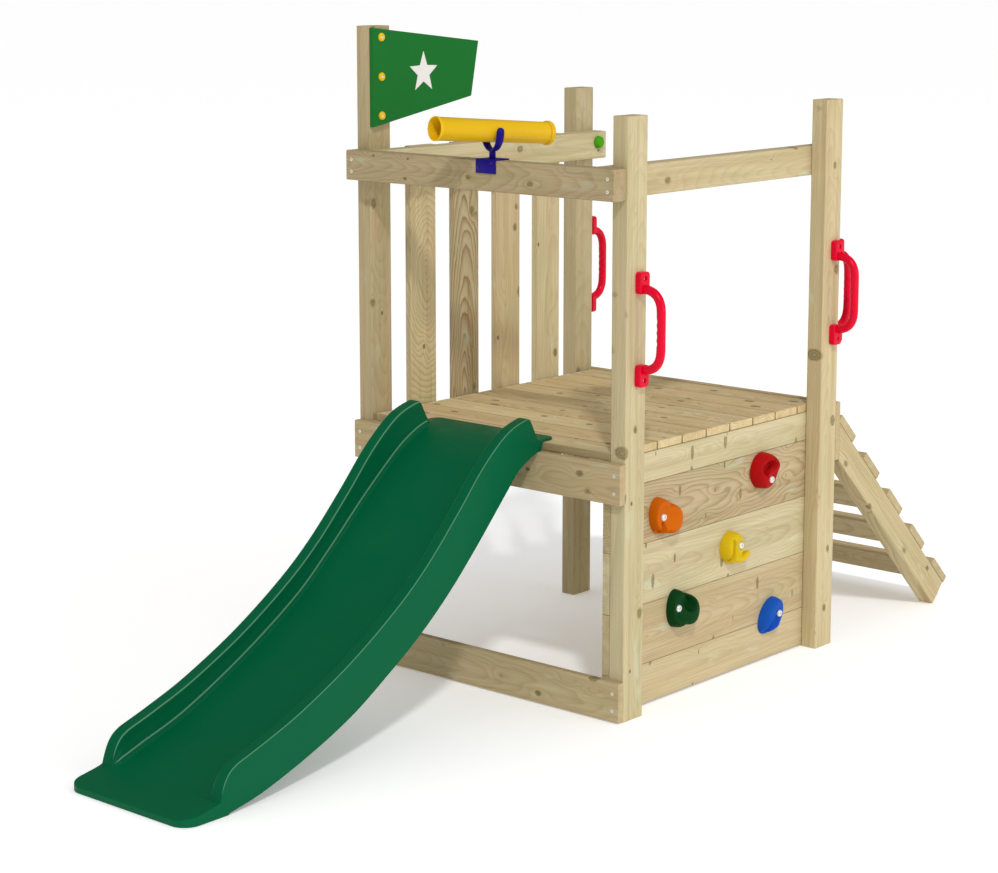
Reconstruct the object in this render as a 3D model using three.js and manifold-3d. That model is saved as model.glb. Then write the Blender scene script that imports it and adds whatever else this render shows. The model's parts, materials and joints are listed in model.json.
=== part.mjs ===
// A child's timber play tower with a climbing wall: a raised deck on four posts, a boarded wall with
// bolt-on holds on the +X side, a moulded slide at the front (-Y), a stepped ladder at the back (+Y),
// grab handles, a flag board and a toy telescope that pans and tilts on the front rail.
// Millimetres, +Z up. The origin is on the ground, at the centre of the whole footprint.
import * as THREE from "three";
import { mergeVertices } from "three/addons/utils/BufferGeometryUtils.js";
import Module from "manifold-3d";

const wasm = await Module();
wasm.setup();

// ---- Driving dimensions ----
const WIDTH = 836; // over the posts, along X
const LENGTH = 863; // over the posts, along Y
const RIGHT = WIDTH / 2;
const LEFT = -RIGHT;
const BACK = LENGTH / 2;
const FRONT = -BACK;

const TIMBER_T = 44; // framing timber, thin side
const TIMBER_W = 72; // framing timber, wide side
const BOARD_T = 19; // planed board, thickness
const BOARD_W = 93; // planed board, width

const POST_HEIGHT = 1391;
const FLAG_POST_HEIGHT = 1573;
const TOP_RAIL_Z = 1204; // underside of the top rails
const DECK_Z = 627; // walking surface
const DECK_UNDER = DECK_Z - BOARD_T;
const GAP = 0.3; // between a turned or cut piece and its neighbour

const WALL_BOARD_T = 20;
const WALL_BOTTOM = 5;
const WALL_COURSES = [97, 145, 145, 145, 71]; // board heights from the ground up
const WALL_FACE = RIGHT - TIMBER_T; // climbing face, flush with the posts' inner faces

const TOP_RAIL_INSET = 5; // the front rail's ends stop short of the posts' outer faces
const DECK_RAIL_TOP = DECK_UNDER - 2;
const BOTTOM_RAIL_Z = 3;
const BACK_BOARD_W = 149;

const DECK_BOARDS = 9;
const DECK_PITCH = 96;
const FIRST_DECK_BOARD_W = 81; // ripped to start flush behind the front rail
const DECK_LEFT_INSET = 13; // the deck boards' left ends lie on the joist
const DECK_RIGHT_INSET = 2; // and the right ends stop short of the wall's face
const SLATS = 4;

const RAIL_BOLT_R = 5;
const RAIL_BOLT_BORE_R = RAIL_BOLT_R + 0.5;
const RAIL_BOLT_Y = BACK - TIMBER_W / 2;
const RAIL_BOLT_Z = TOP_RAIL_Z + TIMBER_W / 2 + 8;
const RAIL_CAP_R = 17;
const RAIL_CAP_H = 16;

const HOLD_BOLT_R = 5;
const HOLD_HEAD_R = 9;
const HOLD_BORE_R = HOLD_BOLT_R + 0.6;
const HOLD_SEAT = 20; // bolt head seat above the wall face
const HOLD_HEAD_H = 6;

const SLIDE_WIDTH = 375;
const SLIDE_X = -10; // centre line of the slide
const SLIDE_RAIL = 32; // width of a side rail's top
const SLIDE_SKIN = 5;
const SLIDE_LIP = 45; // reach of the upper lip over the deck
const SLIDE_TOE = 1124; // reach of the toe in front of the posts

const HANDLE_LENGTH = 262;
const HANDLE_REACH = 61; // post face to the grip's centre line
const HANDLE_R = 10.5;
const HANDLE_PAD_W = 34;
const HANDLE_PAD_H = 50;
const HANDLE_PAD_T = 16;
const HANDLE_Z = 780; // lower end of each handle

const LADDER_ANGLE = THREE.MathUtils.degToRad(44.46); // below the horizontal
const TREADS = 5;
const TREAD_T = 21;
const TREAD_PITCH = 165.5; // along the slope
const LADDER_FOOT = 500; // stringer foot behind the tower's back face

const FLAG_T = 12;
const EMBLEM_T = 1.5;

const SCOPE_X = 39; // telescope's pan axis along the front rail
const SCOPE_PIVOT_Z = 1342.6;
const SCOPE_PAN = THREE.MathUtils.degToRad(13.4); // turned towards -X at rest
const SCOPE_TILT = THREE.MathUtils.degToRad(4.2); // front end raised at rest
const SCOPE_HALF = 162;
const SCOPE_FRONT_R = 28.5;
const SCOPE_REAR_R = 25.5;
const SCOPE_WALL = 2.4;
const SADDLE_T = 3;
const SADDLE_W = 60;
const NECK_R = 7.7;
const STUD_R = 4;
const FORK_INNER = 29.5; // half the clear width between the arms
const FORK_T = 4.5;
const FORK_W = 19; // along the tube
const TRUNNION_R = 3.5;
const TRUNNION_REACH = 24.9; // from the tube's axis to the inner end of a trunnion stud

// ---- Materials ----
function material(name, color, roughness, metalness = 0) {
  return new THREE.MeshStandardMaterial({ name, color, roughness, metalness });
}
const WOOD = material("treated_pine", 0xcdbb8d, 0.75);
const WALL_WOOD = material("wall_pine", 0xd4c8a3, 0.75);
const GREEN_SLIDE = material("slide_green", 0x0e5836, 0.4);
const FLAG_GREEN = material("flag_green", 0x267332, 0.6);
const EMBLEM_WHITE = material("emblem_white", 0xe6e4e1, 0.6);
const HANDLE_RED = material("handle_red", 0xd60026, 0.35);
const SCOPE_YELLOW = material("scope_yellow", 0xe4be2d, 0.4);
const BRACKET_BLUE = material("bracket_blue", 0x281982, 0.4);
const CAP_GREEN = material("cap_green", 0x4b9b05, 0.4);
const STEEL = material("zinc_steel", 0xc9cbc8, 0.35, 0.9);

// ---- Solids ----
function solidOf(geometry) {
  const bare = geometry.index ? geometry.toNonIndexed() : geometry.clone();
  bare.deleteAttribute("normal");
  bare.deleteAttribute("uv");
  const merged = mergeVertices(bare, 1e-3);
  const vertProperties = new Float32Array(merged.attributes.position.array);
  const triVerts = new Uint32Array(merged.index.array);
  return new wasm.Manifold(new wasm.Mesh({ numProp: 3, vertProperties, triVerts }));
}

function geometryOf(solid) {
  const mesh = solid.getMesh();
  const geometry = new THREE.BufferGeometry();
  geometry.setAttribute("position", new THREE.BufferAttribute(mesh.vertProperties, 3));
  geometry.setIndex(new THREE.BufferAttribute(mesh.triVerts, 1));
  geometry.computeVertexNormals();
  return geometry;
}

function toVector([x, y]) {
  return new THREE.Vector2(x, y);
}

const tower = new THREE.Group();

function addMesh(name, geometry, look, parent = tower) {
  const mesh = new THREE.Mesh(geometry, look);
  mesh.name = name;
  parent.add(mesh);
  return mesh;
}

function blockGeometry([x0, x1], [y0, y1], [z0, z1]) {
  const geometry = new THREE.BoxGeometry(x1 - x0, y1 - y0, z1 - z0);
  return geometry.translate((x0 + x1) / 2, (y0 + y1) / 2, (z0 + z1) / 2);
}

function addBlock(name, xs, ys, zs, look = WOOD) {
  return addMesh(name, blockGeometry(xs, ys, zs), look);
}

// Turns a shape drawn in X-Y and extruded along Z into one drawn in Y-Z and extruded along X.
const DRAWN_TO_SIDE = new THREE.Matrix4().makeBasis(
  new THREE.Vector3(0, 1, 0),
  new THREE.Vector3(0, 0, 1),
  new THREE.Vector3(1, 0, 0),
);

// A closed outline in the Y-Z plane, extruded along +X from x0 to x1.
function sidePrism(outline, x0, x1, curveSegments = 8) {
  const shape = outline instanceof THREE.Shape ? outline : new THREE.Shape(outline);
  const options = { depth: x1 - x0, bevelEnabled: false, curveSegments };
  return new THREE.ExtrudeGeometry(shape, options).applyMatrix4(DRAWN_TO_SIDE).translate(x0, 0, 0);
}

// A cylinder along the X axis, from x0 to x1.
function barX(radius, x0, x1, y, z, segments = 16) {
  const geometry = new THREE.CylinderGeometry(radius, radius, x1 - x0, segments);
  return geometry.rotateZ(Math.PI / 2).translate((x0 + x1) / 2, y, z);
}

// ---- Frame ----
function addPosts() {
  const rightX = [RIGHT - TIMBER_T, RIGHT];
  const leftX = [LEFT, LEFT + TIMBER_T];
  const frontY = [FRONT, FRONT + TIMBER_W];
  const backY = [BACK - TIMBER_W, BACK];
  addBlock("post_front_right", rightX, frontY, [0, POST_HEIGHT]);
  addBlock("post_back_right", rightX, backY, [0, POST_HEIGHT]);
  addBlock("post_back_left", leftX, backY, [0, POST_HEIGHT]);
  addBlock("post_front_left", leftX, frontY, [0, FLAG_POST_HEIGHT]);
}

function addTopRails() {
  const z = [TOP_RAIL_Z, TOP_RAIL_Z + TIMBER_W];
  const frontX = [LEFT + TOP_RAIL_INSET, RIGHT - TOP_RAIL_INSET];
  addBlock("top_rail_front", frontX, [FRONT - TIMBER_T, FRONT], z);
  const rightX = [WALL_FACE - TIMBER_T, WALL_FACE];
  addBlock("top_rail_right", rightX, [FRONT, BACK], z);
  const leftX = [LEFT + TIMBER_T, LEFT + 2 * TIMBER_T];
  const rail = solidOf(blockGeometry(leftX, [FRONT, BACK], z));
  const bore = solidOf(barX(RAIL_BOLT_BORE_R, leftX[0] - 1, leftX[1] + 1, RAIL_BOLT_Y, RAIL_BOLT_Z));
  addMesh("top_rail_left", geometryOf(rail.subtract(bore)), WOOD);
}

function addDeckFrame() {
  const railX = [LEFT, RIGHT];
  const outside = [FRONT - BOARD_T, FRONT];
  addBlock("deck_rail_front", railX, outside, [DECK_RAIL_TOP - BOARD_W, DECK_RAIL_TOP]);
  addBlock("bottom_rail_front", railX, outside, [BOTTOM_RAIL_Z, BOTTOM_RAIL_Z + BOARD_W]);
  addBlock("deck_board_back", railX, [BACK, BACK + BOARD_T], [DECK_Z - BACK_BOARD_W, DECK_Z]);
  const joistZ = [DECK_UNDER - TIMBER_W, DECK_UNDER];
  const wallBack = WALL_FACE - WALL_BOARD_T;
  const joists = {
    joist_left: LEFT + TIMBER_T,
    joist_middle: -TIMBER_T / 2,
    joist_right: wallBack - TIMBER_T,
  };
  for (const [name, x] of Object.entries(joists)) {
    addBlock(name, [x, x + TIMBER_T], [FRONT, BACK], joistZ);
  }
}

function addDeckBoards() {
  const x = [LEFT + TIMBER_T + DECK_LEFT_INSET, WALL_FACE - DECK_RIGHT_INSET];
  for (let i = 0; i < DECK_BOARDS; i += 1) {
    const end = FRONT + 1 + FIRST_DECK_BOARD_W + i * DECK_PITCH;
    const start = i === 0 ? FRONT + 1 : end - BOARD_W;
    addBlock(`deck_board_${i + 1}`, x, [start, end], [DECK_UNDER, DECK_Z]);
  }
}

function addSlats() {
  const inner = LEFT + TIMBER_T;
  const clear = LENGTH - 2 * TIMBER_W;
  const gap = (clear - SLATS * BOARD_W) / (SLATS + 1);
  const z = [DECK_UNDER - TIMBER_W, TOP_RAIL_Z + TIMBER_W];
  for (let i = 0; i < SLATS; i += 1) {
    const y = FRONT + TIMBER_W + gap + i * (BOARD_W + gap);
    addBlock(`slat_${i + 1}`, [inner - BOARD_T, inner], [y, y + BOARD_W], z);
  }
}

// A coach bolt with a domed cap, through the left top rail near the back post.
function addRailBolt() {
  const face = LEFT + 2 * TIMBER_T;
  const tip = GAP - TIMBER_T;
  const outline = [[0, tip], [RAIL_BOLT_R, tip], [RAIL_BOLT_R, GAP], [RAIL_CAP_R, GAP]].map(toVector);
  const domeSteps = 5;
  for (let i = 0; i <= domeSteps; i += 1) {
    const a = (i / domeSteps) * (Math.PI / 2);
    const r = i === domeSteps ? 0 : RAIL_CAP_R * Math.cos(a) ** 0.7;
    outline.push(new THREE.Vector2(r, 3 + (RAIL_CAP_H - 3) * Math.sin(a)));
  }
  const geometry = new THREE.LatheGeometry(outline, 14).rotateZ(-Math.PI / 2);
  addMesh("rail_bolt", geometry.translate(face, RAIL_BOLT_Y, RAIL_BOLT_Z), CAP_GREEN);
}

// ---- Climbing wall ----
// Each hold: y and z of its centre on the wall from the front lower corner, its half sizes
// across and up, how far it stands out, and its bolt's offset from the centre.
const HOLDS = {
  red: { y: 596, z: 491, across: 45, up: 45, out: 42, bolt: [18, -24], color: 0xb01e1c },
  orange: { y: 191, z: 450, across: 45, up: 46, out: 42, bolt: [-16, 0], color: 0xcd640a },
  yellow: { y: 468, z: 322, across: 38, up: 39, out: 34, bolt: [20, 2], color: 0xd0b223 },
  green: { y: 262, z: 214, across: 45, up: 46, out: 42, bolt: [-24, 4], color: 0x14461e },
  blue: { y: 637, z: 114, across: 44, up: 45, out: 37, bolt: [22, 4], color: 0x305ab4 },
};

function boltPlace(hold) {
  return [FRONT + hold.y + hold.bolt[0], hold.z + hold.bolt[1]];
}

function addWallBoards() {
  const x = [WALL_FACE - WALL_BOARD_T, WALL_FACE];
  let z = WALL_BOTTOM;
  WALL_COURSES.forEach((height, i) => {
    let board = solidOf(blockGeometry(x, [FRONT, BACK], [z, z + height]));
    for (const hold of Object.values(HOLDS)) {
      const [boltY, boltZ] = boltPlace(hold);
      if (boltZ > z && boltZ < z + height) {
        board = board.subtract(solidOf(barX(HOLD_BORE_R, x[0] - 1, x[1] + 1, boltY, boltZ)));
      }
    }
    addMesh(`wall_board_${i + 1}`, geometryOf(board), WALL_WOOD);
    z += height;
  });
}

// An ellipsoid about a point on the hold's own base plane: [out of the wall, across, up].
function lump(at, halfSizes, turn = 0) {
  const geometry = new THREE.SphereGeometry(1, 16, 10).rotateZ(Math.PI / 16);
  geometry.scale(...halfSizes).rotateX(turn);
  return solidOf(geometry.translate(...at));
}

const HOLD_SHAPES = {
  // A round dome with one deep finger pocket.
  red: (h) => lump([0, 0, 0], [h.out, h.across, h.up]).subtract(lump([h.out, 6, 14], [26, 16, 14])),
  // Two lobes with a valley between them that opens downwards.
  orange: (h) => {
    const near = lump([0, -9, 2], [h.out, h.across - 9, h.up - 2], 0.15);
    const far = lump([0, 13, -6], [h.out - 5, h.across - 13, h.up - 6], -0.15);
    return near.add(far).subtract(lump([h.out, 4, -32], [20, 7, 26], -0.1));
  },
  // A round boss with a raised hook at its lower far side.
  yellow: (h) => {
    const boss = lump([0, 0, 0], [h.out, h.across, h.up]);
    const hook = lump([0, 28, -24], [h.out * 0.6, 26, 11], 0.6);
    return boss.add(hook).subtract(lump([h.out, -4, -6], [12, 6, 26]));
  },
  // A two-lobed bean with a pocket between the lobes.
  green: (h) => {
    const near = lump([0, -9, 0], [h.out, h.across - 9, h.up]);
    const far = lump([0, 17, 0], [h.out - 6, h.across - 17, h.up - 6]);
    return near.add(far).subtract(lump([h.out, 12, 10], [22, 15, 16]));
  },
  // A leaning leaf with a scooped lower far side.
  blue: (h) => {
    const leaf = lump([0, 0, 0], [h.out, h.across - 3, h.up], -0.35);
    return leaf.subtract(lump([h.out, 6, -22], [22, 12, 20], -0.5));
  },
};

function addHolds() {
  for (const [name, hold] of Object.entries(HOLDS)) {
    const reach = 200;
    const front = solidOf(blockGeometry([GAP, reach], [-reach, reach], [-reach, reach]));
    const [across, up] = hold.bolt;
    const bore = solidOf(barX(HOLD_BORE_R, -1, HOLD_SEAT, across, up));
    const sink = solidOf(barX(HOLD_HEAD_R + 1.5, HOLD_SEAT - 0.5, reach, across, up));
    const solid = HOLD_SHAPES[name](hold).intersect(front).subtract(bore).subtract(sink);
    const look = material(`hold_${name}`, hold.color, 0.5);
    const mesh = addMesh(`hold_${name}`, geometryOf(solid), look);
    mesh.position.set(WALL_FACE, FRONT + hold.y, hold.z);
    addHoldBolt(name, hold);
  }
}

// A button-head bolt: head on its seat in the hold, shank through hold and board.
function addHoldBolt(name, hold) {
  const seat = HOLD_SEAT + GAP;
  const tip = -WALL_BOARD_T - 8;
  const top = seat + HOLD_HEAD_H;
  const outline = [
    [0, tip], [HOLD_BOLT_R - 1, tip], [HOLD_BOLT_R, tip + 1], [HOLD_BOLT_R, seat], [HOLD_HEAD_R, seat],
    [HOLD_HEAD_R, seat + 2], [HOLD_HEAD_R - 3, top - 1], [3.5, top], [3, seat + 3], [0, seat + 3],
  ];
  const geometry = new THREE.LatheGeometry(outline.map(toVector), 12).rotateZ(-Math.PI / 2);
  const [y, z] = boltPlace(hold);
  addMesh(`hold_bolt_${name}`, geometry.translate(WALL_FACE, y, z), STEEL);
}

// ---- Slide ----
// Side lines of the slide, as [distance in front of the posts, height].
const SLIDE_TOP_LINE = [
  [62, 688], [130, 664], [211, 600], [298, 508], [400, 408],
  [500, 330], [640, 243], [789, 170], [898, 129], [968, 106],
];
const SLIDE_FLOOR_LINE = [
  [-SLIDE_LIP, 633], [5, 633], [45, 627], [90, 609], [150, 571], [258, 482],
  [370, 380], [480, 289], [647, 187], [821, 101], [943, 59], [1030, 31], [SLIDE_TOE, 15],
];
const SLIDE_SKIRT_LINE = [
  [56, 592], [92, 570], [130, 531], [242, 415], [333, 329],
  [428, 254], [528, 189], [640, 124], [767, 70], [905, 24], [1000, 4],
];

function lineAt(points, steps) {
  const curve = new THREE.SplineCurve(points.map(([reach, z]) => new THREE.Vector2(FRONT - reach, z)));
  return curve.getSpacedPoints(steps);
}

function shifted(points, dz) {
  return points.map((p) => new THREE.Vector2(p.x, p.y + dz));
}

function slideRail(x0, x1) {
  const top = lineAt(SLIDE_TOP_LINE, 18);
  const skirt = lineAt(SLIDE_SKIRT_LINE, 16);
  const nose = [[995, 92], [1014, 66], [1026, 32], [1032, 0.4], [1005, 0.4]];
  const heel = [[20, 606.5], [9, 608], [14, 624], [46, 684]];
  const corner = ([reach, z]) => new THREE.Vector2(FRONT - reach, z);
  const outline = [...top, ...nose.map(corner), ...skirt.reverse(), ...heel.map(corner)];
  return solidOf(sidePrism(outline, x0, x1));
}

// The hollow of a side rail, open underneath.
function slideRailHollow(x0, x1) {
  const roof = shifted(lineAt(SLIDE_TOP_LINE, 16), -SLIDE_SKIN).slice(1, -2);
  const below = shifted(lineAt(SLIDE_SKIRT_LINE, 12), -30).slice(1, -3).reverse();
  return solidOf(sidePrism([...roof, ...below], x0 + SLIDE_SKIN, x1 - SLIDE_SKIN));
}

// The chute floor, with round corners at the deck lip and the toe.
function slideFloor(x0, x1) {
  const top = lineAt(SLIDE_FLOOR_LINE, 28);
  const under = top.map((p) => new THREE.Vector2(p.x, Math.max(p.y - SLIDE_SKIN - 0.7, 0)));
  under[under.length - 1].y = 0;
  under[under.length - 2].y = 0;
  const slab = solidOf(sidePrism([...top, ...under.reverse()], x0, x1));
  return slab.intersect(solidOf(slidePlan(x0, x1)));
}

function slidePlan(x0, x1) {
  const back = FRONT + SLIDE_LIP;
  const front = FRONT - SLIDE_TOE;
  const backR = 24;
  const frontR = 40;
  const plan = new THREE.Shape();
  plan.absarc(x1 - backR, back - backR, backR, 0, Math.PI / 2);
  plan.absarc(x0 + backR, back - backR, backR, Math.PI / 2, Math.PI);
  plan.absarc(x0 + frontR, front + frontR, frontR, Math.PI, 1.5 * Math.PI);
  plan.absarc(x1 - frontR, front + frontR, frontR, 1.5 * Math.PI, 2 * Math.PI);
  return new THREE.ExtrudeGeometry(plan, { depth: 700, bevelEnabled: false, curveSegments: 6 });
}

function addSlide() {
  const x0 = SLIDE_X - SLIDE_WIDTH / 2;
  const x1 = SLIDE_X + SLIDE_WIDTH / 2;
  const rails = [[x0, x0 + SLIDE_RAIL], [x1 - SLIDE_RAIL, x1]];
  let solid = slideFloor(x0, x1);
  for (const rail of rails) solid = solid.add(slideRail(...rail));
  for (const rail of rails) solid = solid.subtract(slideRailHollow(...rail));
  addMesh("slide", geometryOf(solid), GREEN_SLIDE);
}

// ---- Grab handles ----
// Local frame: +X out of the post face, +Z up from the handle's lower end.
function handleGeometry() {
  const bend = [[5, 39], [28, 41], [46, 50], [57, 66], [HANDLE_REACH, 88], [HANDLE_REACH, HANDLE_LENGTH / 2]];
  const mirrored = bend.slice(0, -1).reverse().map(([x, z]) => [x, HANDLE_LENGTH - z]);
  const points = [...bend, ...mirrored].map(([x, z]) => new THREE.Vector3(x, 0, z));
  const extrudePath = new THREE.CatmullRomCurve3(points);
  const section = new THREE.Shape().absarc(0, 0, HANDLE_R, 0, 2 * Math.PI);
  const options = { steps: 16, curveSegments: 5, extrudePath, bevelEnabled: false };
  const grip = new THREE.ExtrudeGeometry(section, options);
  const reach = 200;
  const outside = solidOf(blockGeometry([GAP, reach], [-reach, reach], [-reach, 2 * reach]));
  let handle = solidOf(grip).intersect(outside);
  for (const z of [HANDLE_PAD_W / 2, HANDLE_LENGTH - HANDLE_PAD_H + HANDLE_PAD_W / 2]) {
    handle = handle.add(solidOf(handlePad(z)));
  }
  return geometryOf(handle);
}

// A pad with round ends, lying on the post face.
function handlePad(z) {
  const r = HANDLE_PAD_W / 2;
  const rise = HANDLE_PAD_H - HANDLE_PAD_W;
  const outline = new THREE.Shape();
  outline.absarc(0, rise, r, 0, Math.PI);
  outline.absarc(0, 0, r, Math.PI, 2 * Math.PI);
  return sidePrism(outline, GAP, HANDLE_PAD_T, 4).translate(0, 0, z);
}

function addHandles() {
  const sideOffset = 47; // from a post's front face to a side handle's centre line
  const endOffset = 30; // from a post's inner face to a back handle's centre line
  const places = {
    handle_front_right: [RIGHT, FRONT + sideOffset, 0],
    handle_back_right: [RIGHT, BACK - TIMBER_W + sideOffset, 0],
    handle_ladder_right: [RIGHT - TIMBER_T + endOffset, BACK, Math.PI / 2],
    handle_ladder_left: [LEFT + endOffset, BACK, Math.PI / 2],
  };
  for (const [name, [x, y, turn]] of Object.entries(places)) {
    const mesh = addMesh(name, handleGeometry(), HANDLE_RED);
    mesh.position.set(x, y, HANDLE_Z);
    mesh.rotation.z = turn;
  }
}

// ---- Flag board ----
function addFlag() {
  const x0 = LEFT + TIMBER_T;
  const face = x0 + FLAG_T;
  const low = FLAG_POST_HEIGHT - 243;
  const outline = [[0, low], [356, low + 61], [383, low + 198], [0, low + 239]];
  const points = outline.map(([y, z]) => new THREE.Vector2(FRONT + y, z));
  addMesh("flag_board", sidePrism(points, x0, face), FLAG_GREEN);
  const star = sidePrism(starOutline(FRONT + 178, low + 126), face, face + EMBLEM_T);
  addMesh("flag_emblem", star, EMBLEM_WHITE);
}

function starOutline(y, z) {
  const points = 5;
  const outer = 52;
  const inner = 22;
  const outline = [];
  for (let i = 0; i < 2 * points; i += 1) {
    const r = i % 2 === 0 ? outer : inner;
    const a = Math.PI / 2 + (i * Math.PI) / points;
    outline.push(new THREE.Vector2(y + r * Math.cos(a), z + r * Math.sin(a)));
  }
  return outline;
}

// ---- Telescope ----
// A saddle over the front rail, with the upright stud that the fork turns on.
function addScopeBracket(y) {
  const top = TOP_RAIL_Z + TIMBER_W;
  const x = [SCOPE_X - SADDLE_W / 2, SCOPE_X + SADDLE_W / 2];
  const outline = [
    [-TIMBER_T - SADDLE_T, -30], [-TIMBER_T, -30], [-TIMBER_T, 0], [GAP, 0], [GAP, -14], [SADDLE_T, -14],
    [SADDLE_T, SADDLE_T], [-TIMBER_T - SADDLE_T, SADDLE_T],
  ];
  const corners = outline.map(([dy, dz]) => new THREE.Vector2(FRONT + dy, top + dz));
  const saddle = solidOf(sidePrism(corners, ...x));
  const stud = new THREE.CylinderGeometry(STUD_R, STUD_R, 16, 20).rotateX(Math.PI / 2);
  const solid = saddle.add(solidOf(stud.translate(SCOPE_X, y, top + SADDLE_T + 7)));
  addMesh("telescope_bracket", geometryOf(solid), BRACKET_BLUE);
}

// Fork frame: +X across the tube, +Y along it towards the eye end, the origin at the pivot.
function forkGeometry(neckBottom) {
  const depth = 43;
  const steps = 14;
  const side = (half, drop) => {
    const curve = [];
    for (let i = 0; i <= steps; i += 1) {
      const a = Math.PI + (i / steps) * Math.PI;
      curve.push(new THREE.Vector2(half * Math.cos(a), drop * Math.sin(a)));
    }
    return curve;
  };
  const tipZ = 9;
  const outer = side(FORK_INNER + FORK_T, depth + FORK_T);
  const inner = side(FORK_INNER, depth).reverse();
  const tips = (half) => new THREE.Vector2(half, tipZ);
  const outline = [tips(-FORK_INNER - FORK_T), ...outer, tips(FORK_INNER + FORK_T), tips(FORK_INNER)];
  outline.push(...inner, tips(-FORK_INNER));
  const options = { depth: FORK_W, bevelEnabled: false };
  const across = new THREE.ExtrudeGeometry(new THREE.Shape(outline), options);
  let fork = solidOf(across.translate(0, 0, -FORK_W / 2).rotateX(Math.PI / 2));
  const profile = new THREE.Shape();
  profile.moveTo(-NECK_R, -depth - 2 * FORK_T);
  profile.lineTo(NECK_R, -depth - 2 * FORK_T);
  profile.lineTo(FORK_W / 2, -FORK_W);
  profile.lineTo(FORK_W / 2, tipZ - FORK_W / 2);
  profile.absarc(0, tipZ - FORK_W / 2, FORK_W / 2, 0, Math.PI);
  profile.lineTo(-FORK_W / 2, -FORK_W);
  const reach = 2 * FORK_INNER;
  fork = fork.intersect(solidOf(sidePrism(profile, -reach, reach, 5)));
  const studs = [[-FORK_INNER - 1, -TRUNNION_REACH], [TRUNNION_REACH, FORK_INNER + 1]];
  for (const [x0, x1] of studs) fork = fork.add(solidOf(barX(TRUNNION_R, x0, x1, 0, 0, 14)));
  const neckTop = -depth - 1;
  const neck = new THREE.CylinderGeometry(NECK_R, NECK_R, neckTop - neckBottom, 20).rotateX(Math.PI / 2);
  fork = fork.add(solidOf(neck.translate(0, 0, (neckTop + neckBottom) / 2)));
  const socket = new THREE.CylinderGeometry(STUD_R + 0.3, STUD_R + 0.3, 32, 20).rotateX(Math.PI / 2);
  return geometryOf(fork.subtract(solidOf(socket.translate(0, 0, neckBottom))));
}

// Tube frame: +Y towards the front end, the origin at the pivot.
function tubeGeometry() {
  const rear = 4 - SCOPE_HALF;
  const front = SCOPE_HALF;
  const r = SCOPE_FRONT_R;
  const outline = [
    [SCOPE_REAR_R, rear], [r - 1, front - 8], [r, front - 7], [r, front - 1], [r - 1, front],
    [r - SCOPE_WALL, front], [SCOPE_REAR_R - SCOPE_WALL, rear], [SCOPE_REAR_R, rear],
  ];
  const lathe = new THREE.LatheGeometry(outline.map(toVector), 24);
  const holes = solidOf(barX(TRUNNION_R + 0.4, -2 * SCOPE_FRONT_R, 2 * SCOPE_FRONT_R, 0, 0, 14));
  return geometryOf(solidOf(lathe).subtract(holes));
}

// The eye ring: a collar over the rear end with a smaller opening.
function eyeRingGeometry() {
  const rear = -SCOPE_HALF - 2;
  const r = SCOPE_REAR_R;
  const outline = [
    [r + GAP, rear + 12], [r + GAP, rear + 6 - GAP], [r - 3, rear + 6 - GAP],
    [r - 7, rear + 3], [r - 7, rear], [r + 1, rear],
    [r + 3, rear + 3], [r + 3, rear + 10], [r + 2, rear + 12], [r + GAP, rear + 12],
  ];
  return new THREE.LatheGeometry(outline.map(toVector), 24);
}

function addTelescope() {
  const y = FRONT - TIMBER_T / 2;
  addScopeBracket(y);
  const pan = new THREE.Group();
  pan.position.set(SCOPE_X, y, SCOPE_PIVOT_Z);
  pan.rotation.z = -SCOPE_PAN;
  tower.add(pan);
  const neckBottom = TOP_RAIL_Z + TIMBER_W + SADDLE_T + GAP - SCOPE_PIVOT_Z;
  addMesh("telescope_fork", forkGeometry(neckBottom), BRACKET_BLUE, pan);
  const tilt = new THREE.Group();
  tilt.rotation.x = -SCOPE_TILT;
  pan.add(tilt);
  const tube = addMesh("telescope_tube", tubeGeometry(), SCOPE_YELLOW, tilt);
  const ring = addMesh("telescope_eye_ring", eyeRingGeometry(), SCOPE_YELLOW, tilt);
  for (const mesh of [tube, ring]) mesh.rotation.z = Math.PI;
}

// ---- Ladder ----
// Slope frame: +X across, +Y down the slope, +Z square off the stringers' upper edge.
function addLadder() {
  const slope = new THREE.Group();
  const drop = TIMBER_W * Math.cos(LADDER_ANGLE);
  slope.position.set(0, BACK + LADDER_FOOT + TIMBER_W * Math.sin(LADDER_ANGLE), drop);
  slope.rotation.x = -LADDER_ANGLE;
  tower.add(slope);
  const length = 1100;
  const toSlope = new THREE.Matrix4().makeRotationX(LADDER_ANGLE);
  toSlope.multiply(new THREE.Matrix4().makeTranslation(slope.position.clone().negate()));
  const behind = blockGeometry([-2 * RIGHT, 2 * RIGHT], [BACK + BOARD_T + GAP, BACK + length], [0, length]);
  const room = solidOf(behind.applyMatrix4(toSlope));
  for (const [name, x] of [["right", RIGHT - TIMBER_T], ["left", LEFT]]) {
    const bar = solidOf(blockGeometry([x, x + TIMBER_T], [-length, 0], [-TIMBER_W, 0]));
    addMesh(`ladder_stringer_${name}`, geometryOf(bar.intersect(room)), WOOD, slope);
  }
  const lastEnd = 5; // the lowest tread ends just past the stringers
  for (let i = 0; i < TREADS; i += 1) {
    const end = lastEnd - (TREADS - 1 - i) * TREAD_PITCH;
    const board = blockGeometry([LEFT, RIGHT], [end - BOARD_W, end], [GAP, GAP + TREAD_T]);
    const tread = i === 0 ? geometryOf(solidOf(board).intersect(room)) : board;
    addMesh(`ladder_tread_${i + 1}`, tread, WOOD, slope);
  }
}

addPosts();
addTopRails();
addRailBolt();
addDeckFrame();
addDeckBoards();
addSlats();
addWallBoards();
addHolds();
addSlide();
addHandles();
addFlag();
addTelescope();
addLadder();

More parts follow.
